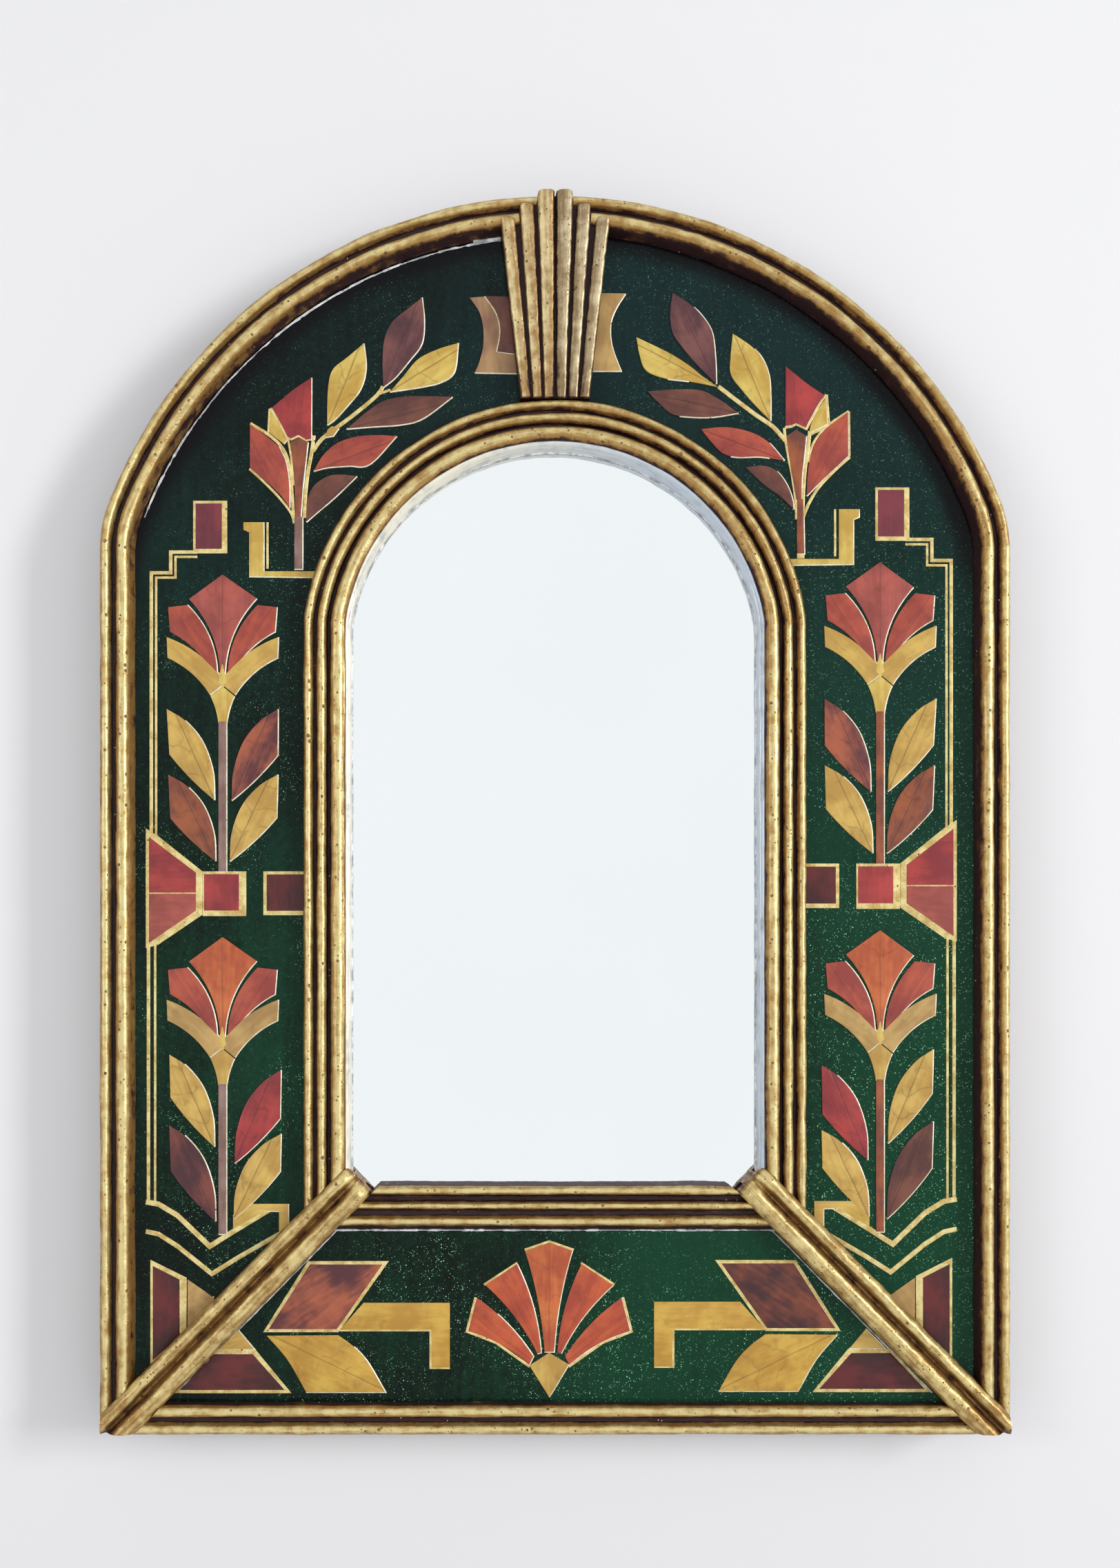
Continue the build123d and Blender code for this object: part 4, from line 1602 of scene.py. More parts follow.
@dataclass
class Inlay:
    """The ornament that is inlaid in the border panels."""

    veneer: Material                   # of the coloured shapes
    line: Material                     # of the gilt lines
    edge: Material                     # of the painted highlights along the shapes' lit edges
    line_height: float = 0.30 * MM
    fill_height: float = 0.40 * MM
    layer: float = 0.0035 * MM         # how much higher each plate stands than the last
    sunk: float = 0.05 * MM            # how deep a plate's foot lies in its panel
    ease: float = 0.07 * MM            # what the eased edge takes off a plate's straight side
    edge_drop: float = 0.08 * MM       # how far a painted highlight stays under its plate
    edge_width: float = 0.66
    lit: Vector = field(default_factory=lambda: Vector((0.90, -0.43)))    # towards the light
    lit_share: float = 0.28            # how far a lit edge has to face it
    grain_step: float = 0.7            # how far each plate's grain lies from the last one's
    spread: Flat = (1.0060, 1.0072)
    spread_about: Flat = (-32.7, 164.0)
    column_shift: Flat = (-2.7, 0.5)   # moves the right column from its plain mirror image
    column_growth: float = 0.0150      # how much taller it is than that, above column_foot
    column_foot: float = 49
    bottom_shift: Flat = (-2.2, 0.4)   # moves the bottom panel's right half in the same way
    palmette_x: float = -2.1

    def flower(self, x: float, z: float, tones: Sequence[Tone]) -> list[Plate]:
        """A five-petalled flower with its cup and stem.

        Args:
            x: Centre of the flower.
            z: Where its petals meet.
            tones: Tones of the top petal, the side petals, the sepals, the cup and the stem.

        Returns:
            Its plates.
        """
        top, side, sepal, cup, stem = tones
        petals = [
            Plate(((12.9, 29.0), (20.0, 28.2), (19.3, 19.2), (2.6, 1.9), (1.9, 2.6)), side,
                  ((0, 0), (17, 26)), (0, 0, 0.085, 0, -0.105), veins=0.5),
            Plate(((20.5, 17.2), (20.2, 9.6), (4.6, -4.0), (0.1, -0.4), (0.1, 2.2)), sepal,
                  ((0, -4), (22, 13)), (0, 0.075, 0, 0, -0.075))]
        plates = [
            Plate(((0, 40.2), (-12.3, 31.2), (-0.9, 1.6), (0.9, 1.6), (12.6, 31.4)), top,
                  ((0, 0), (0, 40)), (0, -0.10, 0, -0.10), veins=0.7),
            *(petal.moved(lambda point: (-point[0], point[1]), turned=True) for petal in petals),
            *petals,
            Plate(((-1.7, 0.6), (-0.3, 7.4), (0.3, 7.4), (1.7, 0.6), (0, -1.0)), Tone.BRIGHT_GOLD,
                  ((0, -1), (0, 7))),
            Plate(((0, -0.8), (-4.4, -4.4), (-1.6, -13.8), (1.6, -13.8), (4.4, -4.4)), cup,
                  ((0, -14), (0, 0)), (0, -0.04, 0, -0.04, 0)),
            Plate(((-1.45, -13.6), (-1.45, -68.8), (1.45, -68.8), (1.45, -13.6)), stem,
                  ((0, -69), (0, -14)))]
        return [plate.moved(lambda point: (x + point[0], z + point[1])) for plate in plates]

    def leaf(self, top: Flat, low: Flat, tip: Flat, tone: Tone) -> Plate:
        """A leaf with a straight outer side.

        Args:
            top: Its upper outer corner.
            low: Its lower outer corner.
            tip: Its tip, at the stem.
            tone: Its tone.

        Returns:
            The leaf.
        """
        way = -1 if top[0] < tip[0] else 1
        bulge = tuple((top[0] + (tip[0] - top[0]) * a - way * b, top[1] + (tip[1] - top[1]) * c, 1.0)
                      for a, b, c in ((0.93, 0.6, 0.68), (0.70, 0.9, 0.36), (0.36, 0.5, 0.13)))
        return Plate((top, low, tip, *bulge), tone, (tip, (top[0] * 0.86 + tip[0] * 0.14, top[1])),
                     (0, -way * 0.03), veins=1.0)

    def tile(self, sides: Sequence[float], tone: Tone, rims: Sequence[float]) -> list[Plate]:
        """A rectangle with a gilt rim.

        Args:
            sides: Its left side, right side, foot and top.
            tone: Its tone.
            rims: Widths of the rim, in the same order.

        Returns:
            The rim and the rectangle on it.
        """
        left, right, low, high = sides
        x0, x1, z0, z1 = left + rims[0], right - rims[1], low + rims[2], high - rims[3]
        return [Plate(((left, low), (right, low), (right, high), (left, high))),
                Plate(((x0, z0), (x1, z0), (x1, z1), (x0, z1)), tone, ((left, low), (left, high)),
                      edged=False)]

    def ruled(self, points: Sequence[Flat], width: float) -> list[Plate]:
        """A gilt line with a finer one beside it, inside its turns.

        Args:
            points: The middle of both, from end to end.
            width: Width of both together.

        Returns:
            Both lines.
        """
        bold, fine = 1.25, 0.85
        sides = stroke(points, width - 0.95)
        half = len(points)
        return [gilt(sides[half:], bold), gilt(sides[:half], fine)]

    def column(self, side: int, stem: Tone) -> list[Plate]:
        """The shapes of a side panel under its sprig, drawn on the left.

        Args:
            side: -1 for the left panel and 1 for the right one.
            stem: Tone of its stems.

        Returns:
            The plates.
        """
        gold, bright = Tone.GOLD, Tone.BRIGHT_GOLD
        thick, thin = 1.9, 0.9
        rims = (thin, thick, 1.6, 1.0) if side < 0 else (thick, thin, 1.5, 0.9)
        plates = self.tile((-132.9, -120.4, 323.6, 342.9), Tone.TILE, rims)
        plates += self.ruled(((-131.4, 323.2), (-140.3, 323.2), (-140.3, 315.6), (-147.4, 315.6),
                              (-147.4, 219.0)), 2.7)
        plates += [
            Plate(((-114.4, 335.0), (-114.4, 332.2), (-112.3, 331.3), (-112.3, 315.1), (-88.0, 314.8),
                   (-87.4, 317.0), (-107.0, 317.0), (-107.0, 335.0)), bright, ((-108, 316), (-108, 335))),
            gilt(((-105.6, 335.0), (-105.6, 318.0)), 0.8),
            Plate(((-150.3, 222.7), (-150.3, 178.7), (-145.7, 180.0), (-129.5, 191.0), (-129.5, 206.9),
                   (-145.7, 219.8))),
            Plate(((-149.1, 219.6), (-149.1, 199.1), (-131.8, 199.1), (-131.8, 206.4)), Tone.RED,
                  ((-150, 199), (-130, 199)), edged=False),
            Plate(((-149.1, 198.7), (-149.1, 180.6), (-131.8, 192.5), (-131.8, 198.7)), Tone.ROSE,
                  ((-150, 199), (-130, 199)), edged=False)]
        plates += self.tile((-129.4, -113.4, 190.5, 206.9), Tone.RED,
                            (0.5, 2.6, 2.0, 1.0) if side < 0 else (2.4, 0.6, 2.0, 1.0))
        plates += self.tile((-107.1, -90.0, 190.8, 206.9), Tone.MAROON, (1.2, 0.3, 1.6, 1.1))
        plates += self.ruled(((-148.1, 180.0), (-148.1, 85.4)), 3.4)
        plates += [
            Plate(((-114.5, 84.9), (-114.5, 82.6), (-101.3, 82.2), (-101.3, 68.0), (-97.9, 68.0),
                   (-97.9, 84.9)), gold, ((-114, 83), (-98, 83))),
            Plate(((-118.2, 80.9), (-118.2, 75.6), (-105.6, 82.9), (-113.7, 83.4)), bright,
                  ((-118, 76), (-106, 83)), edged=False),
            gilt(((-150.3, 85.6), (-145.6, 84.8), (-138.6, 80.6), (-126.8, 69.3), (-118.4, 74.6),
                  (-104.7, 82.9)), 1.9),
            gilt(((-150.3, 74.8), (-145.6, 73.8), (-138.4, 69.2), (-126.0, 59.2), (-117.0, 64.8),
                  (-100.9, 74.0)), 1.7),
            Plate(((-148.6, 64.4), (-148.6, 26.0), (-135.3, 37.7), (-135.3, 57.8))),
            Plate(((-147.7, 62.2), (-147.7, 27.5), (-137.8, 36.4), (-137.8, 57.2)), Tone.MAROON,
                  ((-143, 26), (-143, 64)), edged=False),
            Plate(((-134.9, 57.2), (-134.9, 38.7), (-123.6, 48.0), (-126.0, 51.0)), Tone.TAN,
                  ((-135, 40), (-124, 52)), edged=False),
            gilt(((-134.9, 44.6), (-125.2, 50.8)), 0.7)]
        plates += self.flower(-122.1, 275.6, (Tone.ROSE, Tone.EMBER, gold, bright, stem))
        plates += self.flower(-122.1, 142.6, (Tone.ORANGE, Tone.EMBER, Tone.TAN, gold, stem))
        plates += [
            self.leaf((-142.6, 266.5), (-141.6, 249.8), (-125.0, 233.0), gold),
            self.leaf((-101.7, 266.4), (-101.8, 249.5), (-118.7, 232.9), Tone.PLUM_FIRE),
            self.leaf((-142.0, 242.4), (-141.3, 226.4), (-124.6, 210.6), Tone.RUSSET),
            self.leaf((-101.8, 242.4), (-102.2, 226.6), (-119.4, 210.6), gold),
            self.leaf((-141.6, 139.7), (-141.2, 123.9), (-125.0, 105.8), gold),
            self.leaf((-100.6, 134.0), (-100.9, 116.3), (-117.6, 99.8), Tone.RED),
            self.leaf((-141.6, 113.7), (-141.1, 96.8), (-124.6, 78.5),
                      Tone.WINE if side < 0 else Tone.BROWN),
            self.leaf((-100.6, 110.6), (-100.9, 96.8), (-118.0, 79.3), gold)]
        return plates

    def left_sprig(self) -> list[Plate]:
        """The sprig over the left shoulder of the arch, and the shapes beside the keystone.

        Returns:
            The plates.
        """
        gold, bright = Tone.GOLD, Tone.BRIGHT_GOLD
        return [
            Plate(((-95.7, 337.0), (-95.7, 317.8), (-92.7, 317.8), (-92.7, 337.0)), Tone.MAUVE,
                  ((-94, 318), (-94, 337))),
            Plate(((-112.0, 371.1), (-112.0, 354.8), *soft((-105.2, 349.2), (-100.2, 344.2)), (-97.4, 340.2),
                   *soft((-97.6, 349.5), (-98.9, 357.4)), (-101.4, 362.8), (-106.4, 366.9)), Tone.EMBER,
                  ((-98, 340), (-111, 364)), veins=0.5),
            Plate(((-104.5, 376.4), (-105.0, 367.9), (-99.6, 363.7), (-98.1, 365.4), (-101.3, 371.4)),
                  bright, ((-99, 364), (-104, 376))),
            Plate(((-103.9, 377.0), *soft((-101.4, 372.6)), (-98.3, 366.3), (-96.8, 365.6), (-94.1, 366.9),
                   (-91.2, 365.2), (-89.5, 365.3), (-89.4, 388.0), *soft((-96.0, 383.6))), Tone.RED,
                  ((-94, 365), (-92, 388)), veins=0.5),
            Plate(((-97.1, 364.3), *soft((-96.1, 355.4), (-95.5, 345.5)), (-95.3, 336.6), (-93.3, 336.6),
                   *soft((-92.6, 347.0), (-91.5, 357.0)), (-90.7, 364.3), (-94.1, 366.0)), Tone.RUSSET,
                  ((-94.2, 336), (-94, 366))),
            gilt(((-111.9, 371.2), (-105.6, 367.4), (-100.9, 363.3), (-98.3, 358.6), (-97.0, 351.0),
                  (-96.4, 343.5), (-96.0, 336.6)), 1.1, True),
            gilt(((-98.0, 365.6), (-96.9, 359.0), (-96.0, 348.5)), 0.8),
            gilt(((-98.0, 366.0), (-96.8, 365.3), (-94.1, 366.6), (-91.2, 364.9), (-88.6, 366.4)), 0.7),
            gilt(((-88.5, 366.8), (-89.4, 360.4), (-90.7, 353.4), (-91.6, 345.5), (-92.0, 336.6)),
                  1.3, True),
            gilt(((-112.2, 354.6), (-106.4, 349.3), (-100.8, 343.5), (-96.8, 338.2), (-95.8, 334.6)),
                  0.9, True),
            gilt(((-104.8, 376.6), (-105.2, 367.9)), 0.8),
            gilt(((-104.3, 376.9), (-101.2, 371.6), (-98.0, 365.8)), 0.7),
            gilt(((-88.9, 361.0), (-85.9, 365.2), (-81.4, 368.8), (-73.5, 374.7), (-65.3, 381.6),
                  (-63.2, 384.8)), 1.4, True),
            gilt(((-65.3, 381.8), (-60.4, 383.6)), 0.9),
            Plate(((-84.4, 366.1), *soft((-83.4, 369.0)), (-81.8, 370.2), (-79.4, 369.4), (-81.4, 366.6)),
                  gold, ((-84, 366), (-80, 370))),
            Plate(((-70.2, 400.5), *soft((-76.3, 395.4), (-81.4, 391.2), (-83.1, 386.0), (-83.6, 378.0)),
                   (-83.6, 370.6), *soft((-80.8, 372.6), (-76.4, 377.4), (-71.4, 383.8), (-69.4, 391.5))),
                  bright, ((-83.4, 370.6), (-71.5, 400)), veins=1.0),
            Plate(((-48.8, 417.4), *soft((-53.6, 413.6), (-59.6, 408.6), (-62.7, 401.8), (-63.3, 393.0)),
                   (-63.0, 384.4), *soft((-58.6, 388.0), (-53.4, 394.2), (-48.9, 400.4), (-48.0, 408.6))),
                  Tone.PLUM, ((-63, 384.4), (-50, 417)), veins=1.0),
            Plate(((-35.5, 400.7), *soft((-43.5, 398.2), (-50.4, 394.6), (-55.7, 388.4)), (-60.6, 382.8),
                   *soft((-48.7, 384.6), (-41.6, 386.4), (-36.9, 390.2))), bright,
                  ((-60.6, 382.8), (-36, 398)), veins=1.0),
            Plate(((-37.6, 380.9), *soft((-46.7, 381.2), (-55.7, 381.0), (-63.4, 379.2), (-69.6, 375.0)),
                   (-76.5, 369.2), *soft((-66.6, 370.0), (-56.7, 370.7), (-48.6, 372.9))), Tone.BROWN,
                  ((-76.5, 369.2), (-38, 379)), veins=1.0),
            Plate(((-58.1, 366.5), *soft((-65.6, 366.9), (-73.5, 366.2), (-80.2, 363.8), (-85.2, 359.4)),
                   (-88.6, 353.7), *soft((-83.4, 355.0), (-75.6, 355.6), (-68.0, 356.2))), Tone.EMBER,
                  ((-88.6, 353.7), (-59, 365)), veins=1.0),
            Plate(((-72.7, 351.8), *soft((-78.4, 352.4), (-83.4, 351.8), (-88.4, 348.4), (-90.9, 343.0)),
                   (-91.3, 335.0), *soft((-87.4, 338.4), (-80.6, 344.2))), Tone.BROWN,
                  ((-91.3, 335), (-74, 351)), veins=1.0),
            Plate(((-31.3, 417.3), *soft((-27.9, 412.3), (-26.4, 406.6), (-26.4, 399.6), (-27.7, 394.0)),
                   (-29.4, 389.8), (-11.0, 389.5), (-13.0, 396.0), (-21.6, 397.4), *soft((-20.4, 404.9),
                   (-21.8, 411.4)), (-26.0, 417.7)), Tone.ROSE_TAN, ((-26, 389), (-29, 418))),
            Plate(((-25.6, 417.9), *soft((-21.3, 411.6), (-20.0, 404.9)), (-21.2, 397.4), (-13.2, 396.4),
                   (-13.4, 417.6)), Tone.BROWN, ((-19, 396), (-21, 418))),
            gilt(((-25.8, 417.8), (-21.6, 411.4), (-20.2, 404.9), (-21.3, 397.2)), 0.6, True),
            Plate(((16.0, 419.0), (12.0, 390.4), (24.2, 390.4), *soft((21.6, 397.2), (20.4, 402.6),
                   (20.6, 408.5), (22.6, 413.6)), (25.9, 418.8)), Tone.TAN, ((16, 390), (20, 419))),
            gilt(((16.2, 414.4), (20.8, 418.9)), 0.6)]

    def right_sprig(self) -> list[Plate]:
        """The sprig over the right shoulder of the arch.

        Returns:
            The plates.
        """
        gold, bright = Tone.GOLD, Tone.BRIGHT_GOLD
        return [
            Plate(((88.8, 343.5), (88.9, 323.4), (91.6, 323.4), (91.2, 343.5)), Tone.RUSSET,
                  ((90, 323), (90, 343))),
            gilt(((88.9, 322.6), (91.6, 322.6)), 1.8),
            Plate(((107.6, 375.5), (99.3, 369.3), *soft((94.7, 362.3), (92.9, 354.0)), (92.5, 344.6),
                   *soft((97.2, 349.4), (103.4, 355.2)), (107.8, 359.3)), Tone.EMBER,
                  ((92.6, 344.6), (106, 370)), veins=0.5),
            Plate(((84.7, 392.2), (84.7, 370.2), (86.8, 370.4), (88.6, 371.2), (92.2, 369.6),
                   *soft((93.6, 372.4), (97.0, 378.6)), (99.2, 381.4), *soft((92.6, 385.8))), Tone.RED,
                  ((89, 370), (87, 392)), veins=0.5),
            Plate(((99.5, 380.6), *soft((96.4, 376.0), (94.2, 371.4)), (93.3, 367.6), (100.1, 371.0)),
                  bright, ((94, 368), (100, 380))),
            Plate(((85.0, 366.6), (88.6, 368.9), (92.3, 366.6), *soft((91.5, 358.4), (90.7, 351.0)),
                   (90.6, 343.0), (88.6, 343.0), *soft((87.2, 351.0), (85.8, 359.6))), Tone.RUSSET,
                  ((89.8, 343), (88.6, 369))),
            gilt(((84.2, 369.6), (84.7, 365.0), (85.9, 358.4), (87.5, 350.0), (88.5, 341.8), (88.7, 336.0)),
                  1.0, True),
            gilt(((93.6, 368.4), (93.0, 362.5), (91.8, 354.0), (91.2, 345.5), (91.0, 340.0)), 1.3, True),
            gilt(((107.9, 375.7), (99.6, 370.0), (94.8, 363.8), (93.0, 357.0)), 0.9, True),
            gilt(((108.0, 375.6), (108.1, 359.0)), 0.8),
            gilt(((108.2, 358.9), (102.7, 354.0), (96.8, 347.7), (93.0, 341.4), (91.3, 337.0)), 1.1, True),
            gilt(((84.5, 369.7), (86.9, 370.0), (88.6, 370.9), (92.4, 369.2), (94.0, 372.3), (97.2, 378.3),
                  (99.5, 381.8)), 0.8),
            gilt(((99.8, 381.8), (100.6, 370.6), (93.4, 366.9)), 0.9),
            gilt(((60.0, 384.8), (67.3, 379.2), (73.7, 374.4), (80.1, 370.0), (84.6, 364.9)), 1.5, True),
            Plate(((43.2, 419.1), *soft((42.3, 411.6), (43.3, 404.4), (47.2, 398.6), (53.0, 391.8)),
                   (59.3, 385.6), *soft((58.9, 395.6), (57.7, 404.6), (54.1, 410.6), (49.3, 415.2))),
                  Tone.PLUM, ((59.3, 385.6), (44, 418)), veins=1.0),
            Plate(((29.9, 402.8), *soft((36.3, 399.8), (42.7, 396.6), (49.3, 392.4), (54.5, 388.2)),
                   (59.8, 384.6), *soft((49.2, 386.6), (39.6, 387.9), (33.3, 390.8), (31.0, 396.6))),
                  bright, ((59.8, 384.6), (30.4, 400)), veins=1.0),
            Plate(((65.3, 404.1), *soft((64.5, 396.0), (64.6, 389.2), (68.9, 383.2), (73.7, 377.7)),
                   (79.2, 372.1), *soft((79.2, 381.0), (78.6, 388.8), (76.0, 395.3), (71.6, 399.9))),
                  bright, ((79.2, 372.1), (66, 403)), veins=1.0),
            Plate(((34.0, 382.9), *soft((43.0, 383.6), (53.0, 383.4), (60.0, 380.2)), (67.4, 375.0),
                   *soft((57.8, 373.5), (49.0, 373.6), (43.0, 374.6), (38.4, 378.4))), Tone.BROWN,
                  ((67.4, 375), (35, 382)), veins=1.0),
            Plate(((53.6, 369.1), *soft((62.6, 369.8), (71.2, 368.2), (78.0, 364.6)), (84.3, 357.5),
                   *soft((75.6, 358.9), (67.0, 358.8), (61.6, 360.2), (57.4, 364.4))), Tone.EMBER,
                  ((84.3, 357.5), (55, 368.4)), veins=1.0),
            Plate(((69.9, 355.1), *soft((76.9, 355.6), (81.5, 353.6), (85.2, 348.7), (87.2, 343.4)),
                   (87.7, 339.6), *soft((82.4, 344.6), (76.9, 348.6))), Tone.BROWN,
                  ((87.7, 339.6), (71, 354.6)), veins=1.0)]

    def bottom_half(self, lozenge: Tone) -> list[Plate]:
        """The left half of the bottom panel's shapes.

        Args:
            lozenge: Tone of its lozenge.

        Returns:
            The plates.
        """
        return [
            Plate(((-70.3, 48.6), (-79.0, 38.7), (-45.3, 38.7), (-45.3, 24.8), (-38.6, 24.8),
                   (-38.6, 48.6)), Tone.HONEY, ((-80, 44), (-38, 44)), edged=False),
            gilt(((-79.0, 38.6), (-45.6, 38.6), (-45.6, 24.8), (-38.6, 24.8)), 1.0),
            Plate(((-90.8, 63.9), (-107.2, 37.8), (-79.5, 37.8), (-61.0, 63.9))),
            Plate(((-89.9, 62.7), (-105.2, 38.9), (-80.1, 38.9), (-63.3, 62.7)), lozenge,
                  ((-104, 38), (-66, 63)), edged=False),
            Plate(((-105.8, 36.5), *soft((-98.2, 27.6)), (-91.4, 15.8), (-62.3, 15.8),
                   *soft((-68.6, 26.6), (-73.8, 32.4)), (-79.5, 36.7)), Tone.HONEY,
                  ((-105, 37), (-62.5, 16.5)), veins=0.8),
            Plate(((-140.0, 15.4), (-96.8, 15.4), (-110.0, 31.4), (-126.0, 31.4))),
            Plate(((-138.0, 16.6), (-99.2, 16.6), (-111.0, 29.8), (-125.6, 29.8)), Tone.MAROON,
                  ((-138, 23), (-97, 23)), edged=False),
            Plate(((-123.5, 31.5), (-110.4, 31.5), (-116.4, 38.6)), Tone.GOLD, ((-124, 32), (-110, 36)))]

    def palmette(self) -> list[Plate]:
        """The palmette in the middle of the bottom panel.

        Returns:
            Its plates.
        """
        middle = [
            Plate(((0, 70.7), (-8.9, 67.7), (-1.7, 30.6), (1.8, 30.6), (8.5, 67.8)), Tone.ORANGE,
                  ((0, 30), (0, 70)), (0, -0.03, 0, -0.03), veins=0.7),
            Plate(((0, 30.3), (-7.3, 25.6), (0, 14.0), (7.2, 26.0)), Tone.GOLD, ((0, 14), (0, 30)))]
        petals = [
            Plate(((11.9, 62.9), (23.5, 55.1), (4.4, 30.0), (3.0, 30.3)), Tone.FIRE,
                  ((3, 30), (18, 60)), (0, 0.05, 0, -0.05), veins=0.5),
            Plate(((26.6, 50.5), (29.7, 38.2), (7.4, 25.8), (5.8, 28.9)), Tone.FIRE,
                  ((6, 27), (28, 44)), (0, 0.06, 0, -0.05), veins=0.5)]
        lines = ((((27.0, 50.6), (30.2, 38.1), (19.6, 34.0), (7.2, 25.2)), 1.0),
                 (((11.7, 63.2), (23.9, 55.2)), 0.9), (((0, 71.1), (9.0, 68.0)), 0.9))
        x = self.palmette_x
        plates = [plate.moved(lambda point: (x + point[0], point[1])) for plate in middle]
        for way in (-1, 1):
            plates += [petal.moved(lambda point: (x + way * point[0], point[1]), turned=way < 0)
                       for petal in petals]
            plates += [gilt([(x + way * across, z) for across, z in points], width)
                       for points, width in lines]
        return plates

    def raise_plate(self, outline: list[Flat], height: float, name: str) -> Bench:
        """Cut a plate to its outline, stand it on the panel and ease its edge.

        Args:
            outline: Its outline.
            height: Height of its top in front of the panel.
            name: Name of the piece.

        Returns:
            A bench with the plate.
        """
        points = [(x * MM, PANEL_FRONT + self.sunk, FOOT_Z + z * MM) for x, z in outline]
        bench = Bench(name, points, filled=True)
        bench.pull((0, -(height - self.ease), 0))
        bench.inset(0.10 * MM, 0.08 * MM)
        bench.inset(0.14 * MM, 0.04 * MM)
        return bench

    def lit_edges(self, outline: list[Flat]) -> list[list[Flat]]:
        """Find the edges of an outline that face the light.

        Args:
            outline: The outline, anticlockwise.

        Returns:
            The points of each run of such edges.
        """
        count = len(outline)
        faces = []
        for at in range(count):
            edge = Vector(outline[(at + 1) % count]) - Vector(outline[at])
            faces.append(Vector((edge.y, -edge.x)).normalized().dot(self.lit) > self.lit_share)
        start = next((at for at in range(count) if faces[at] and not faces[at - 1]), None)
        if start is None:
            return []
        runs: list[list[Flat]] = []
        for step in range(count):
            at = (start + step) % count
            if not faces[at]:
                continue
            if not faces[at - 1]:
                runs.append([outline[at]])
            runs[-1].append(outline[(at + 1) % count])
        return runs

    def spread_out(self, point: Flat) -> Flat:
        """Move a point from the drawing, which stands before the panel, back on to it."""
        return tuple(about + (value - about) * factor
                     for value, about, factor in zip(point, self.spread_about, self.spread))

    def to_right(self, point: Flat) -> Flat:
        """Move a point of the left column to its place in the right one."""
        return (-point[0] + self.column_shift[0],
                point[1] + self.column_shift[1] + self.column_growth * (point[1] - self.column_foot))

    def lay(self, plates: Sequence[Plate], name: str) -> None:
        """Lay a panel's plates and dress them.

        Args:
            plates: The shapes, in order.
            name: Start of the pieces' names.
        """
        fills, lines, edges = [], [], []
        for number, plate in enumerate(plates):
            plate = plate.moved(self.spread_out)
            outline = plate.outline()
            rise = self.layer * number
            if plate.tone is None:
                lines.append(self.raise_plate(outline, self.line_height + rise, "line").done(40))
                continue
            bench = self.raise_plate(outline, self.fill_height + rise, "fill")
            foot, tip = (Vector((x * MM, 0, FOOT_Z + z * MM)) for x, z in plate.axis)
            along = (tip - foot).normalized()
            across = Vector((-along.z, 0, along.x))
            bench.lay_run(lambda point: ((point - foot).dot(along) + number * self.grain_step,
                                         (point - foot).dot(across), plate.veins))
            piece = bench.done(40)
            for label, code in zip(("tint", "shade"), plate.tone.value):
                colours = piece.data.color_attributes.new(label, "FLOAT_COLOR", "POINT")
                for item in colours.data:
                    item.color = paint(code)
            fills.append(piece)
            # painted highlight: a pale stroke along each edge that faces the light
            if plate.edged:
                for run in self.lit_edges(outline):
                    border = list(stroke(run, self.edge_width))
                    height = self.fill_height + rise - self.edge_drop
                    edges.append(self.raise_plate(border, height, "edge").done(40))
        dress(joined(fills, f"{name}_inlay"), self.veneer, "border_lacquer")
        dress(joined(lines, f"{name}_inlay_lines"), self.line, "border_lacquer")
        dress(joined(edges, f"{name}_inlay_highlights"), self.edge, "border_lacquer")

    def build(self) -> None:
        """Lay the ornament of all three panels."""
        self.lay(self.column(-1, Tone.MAUVE) + self.left_sprig(), "left")
        right = [plate.moved(self.to_right, turned=True) for plate in self.column(1, Tone.RUSSET)]
        self.lay(right + self.right_sprig(), "right")
        across, up = self.bottom_shift
        other = [plate.moved(lambda point: (-point[0] + across, point[1] + up), turned=True)
                 for plate in self.bottom_half(Tone.DARK_FIRE)]
        self.lay(self.bottom_half(Tone.PLUM_FIRE) + other + self.palmette(), "bottom")


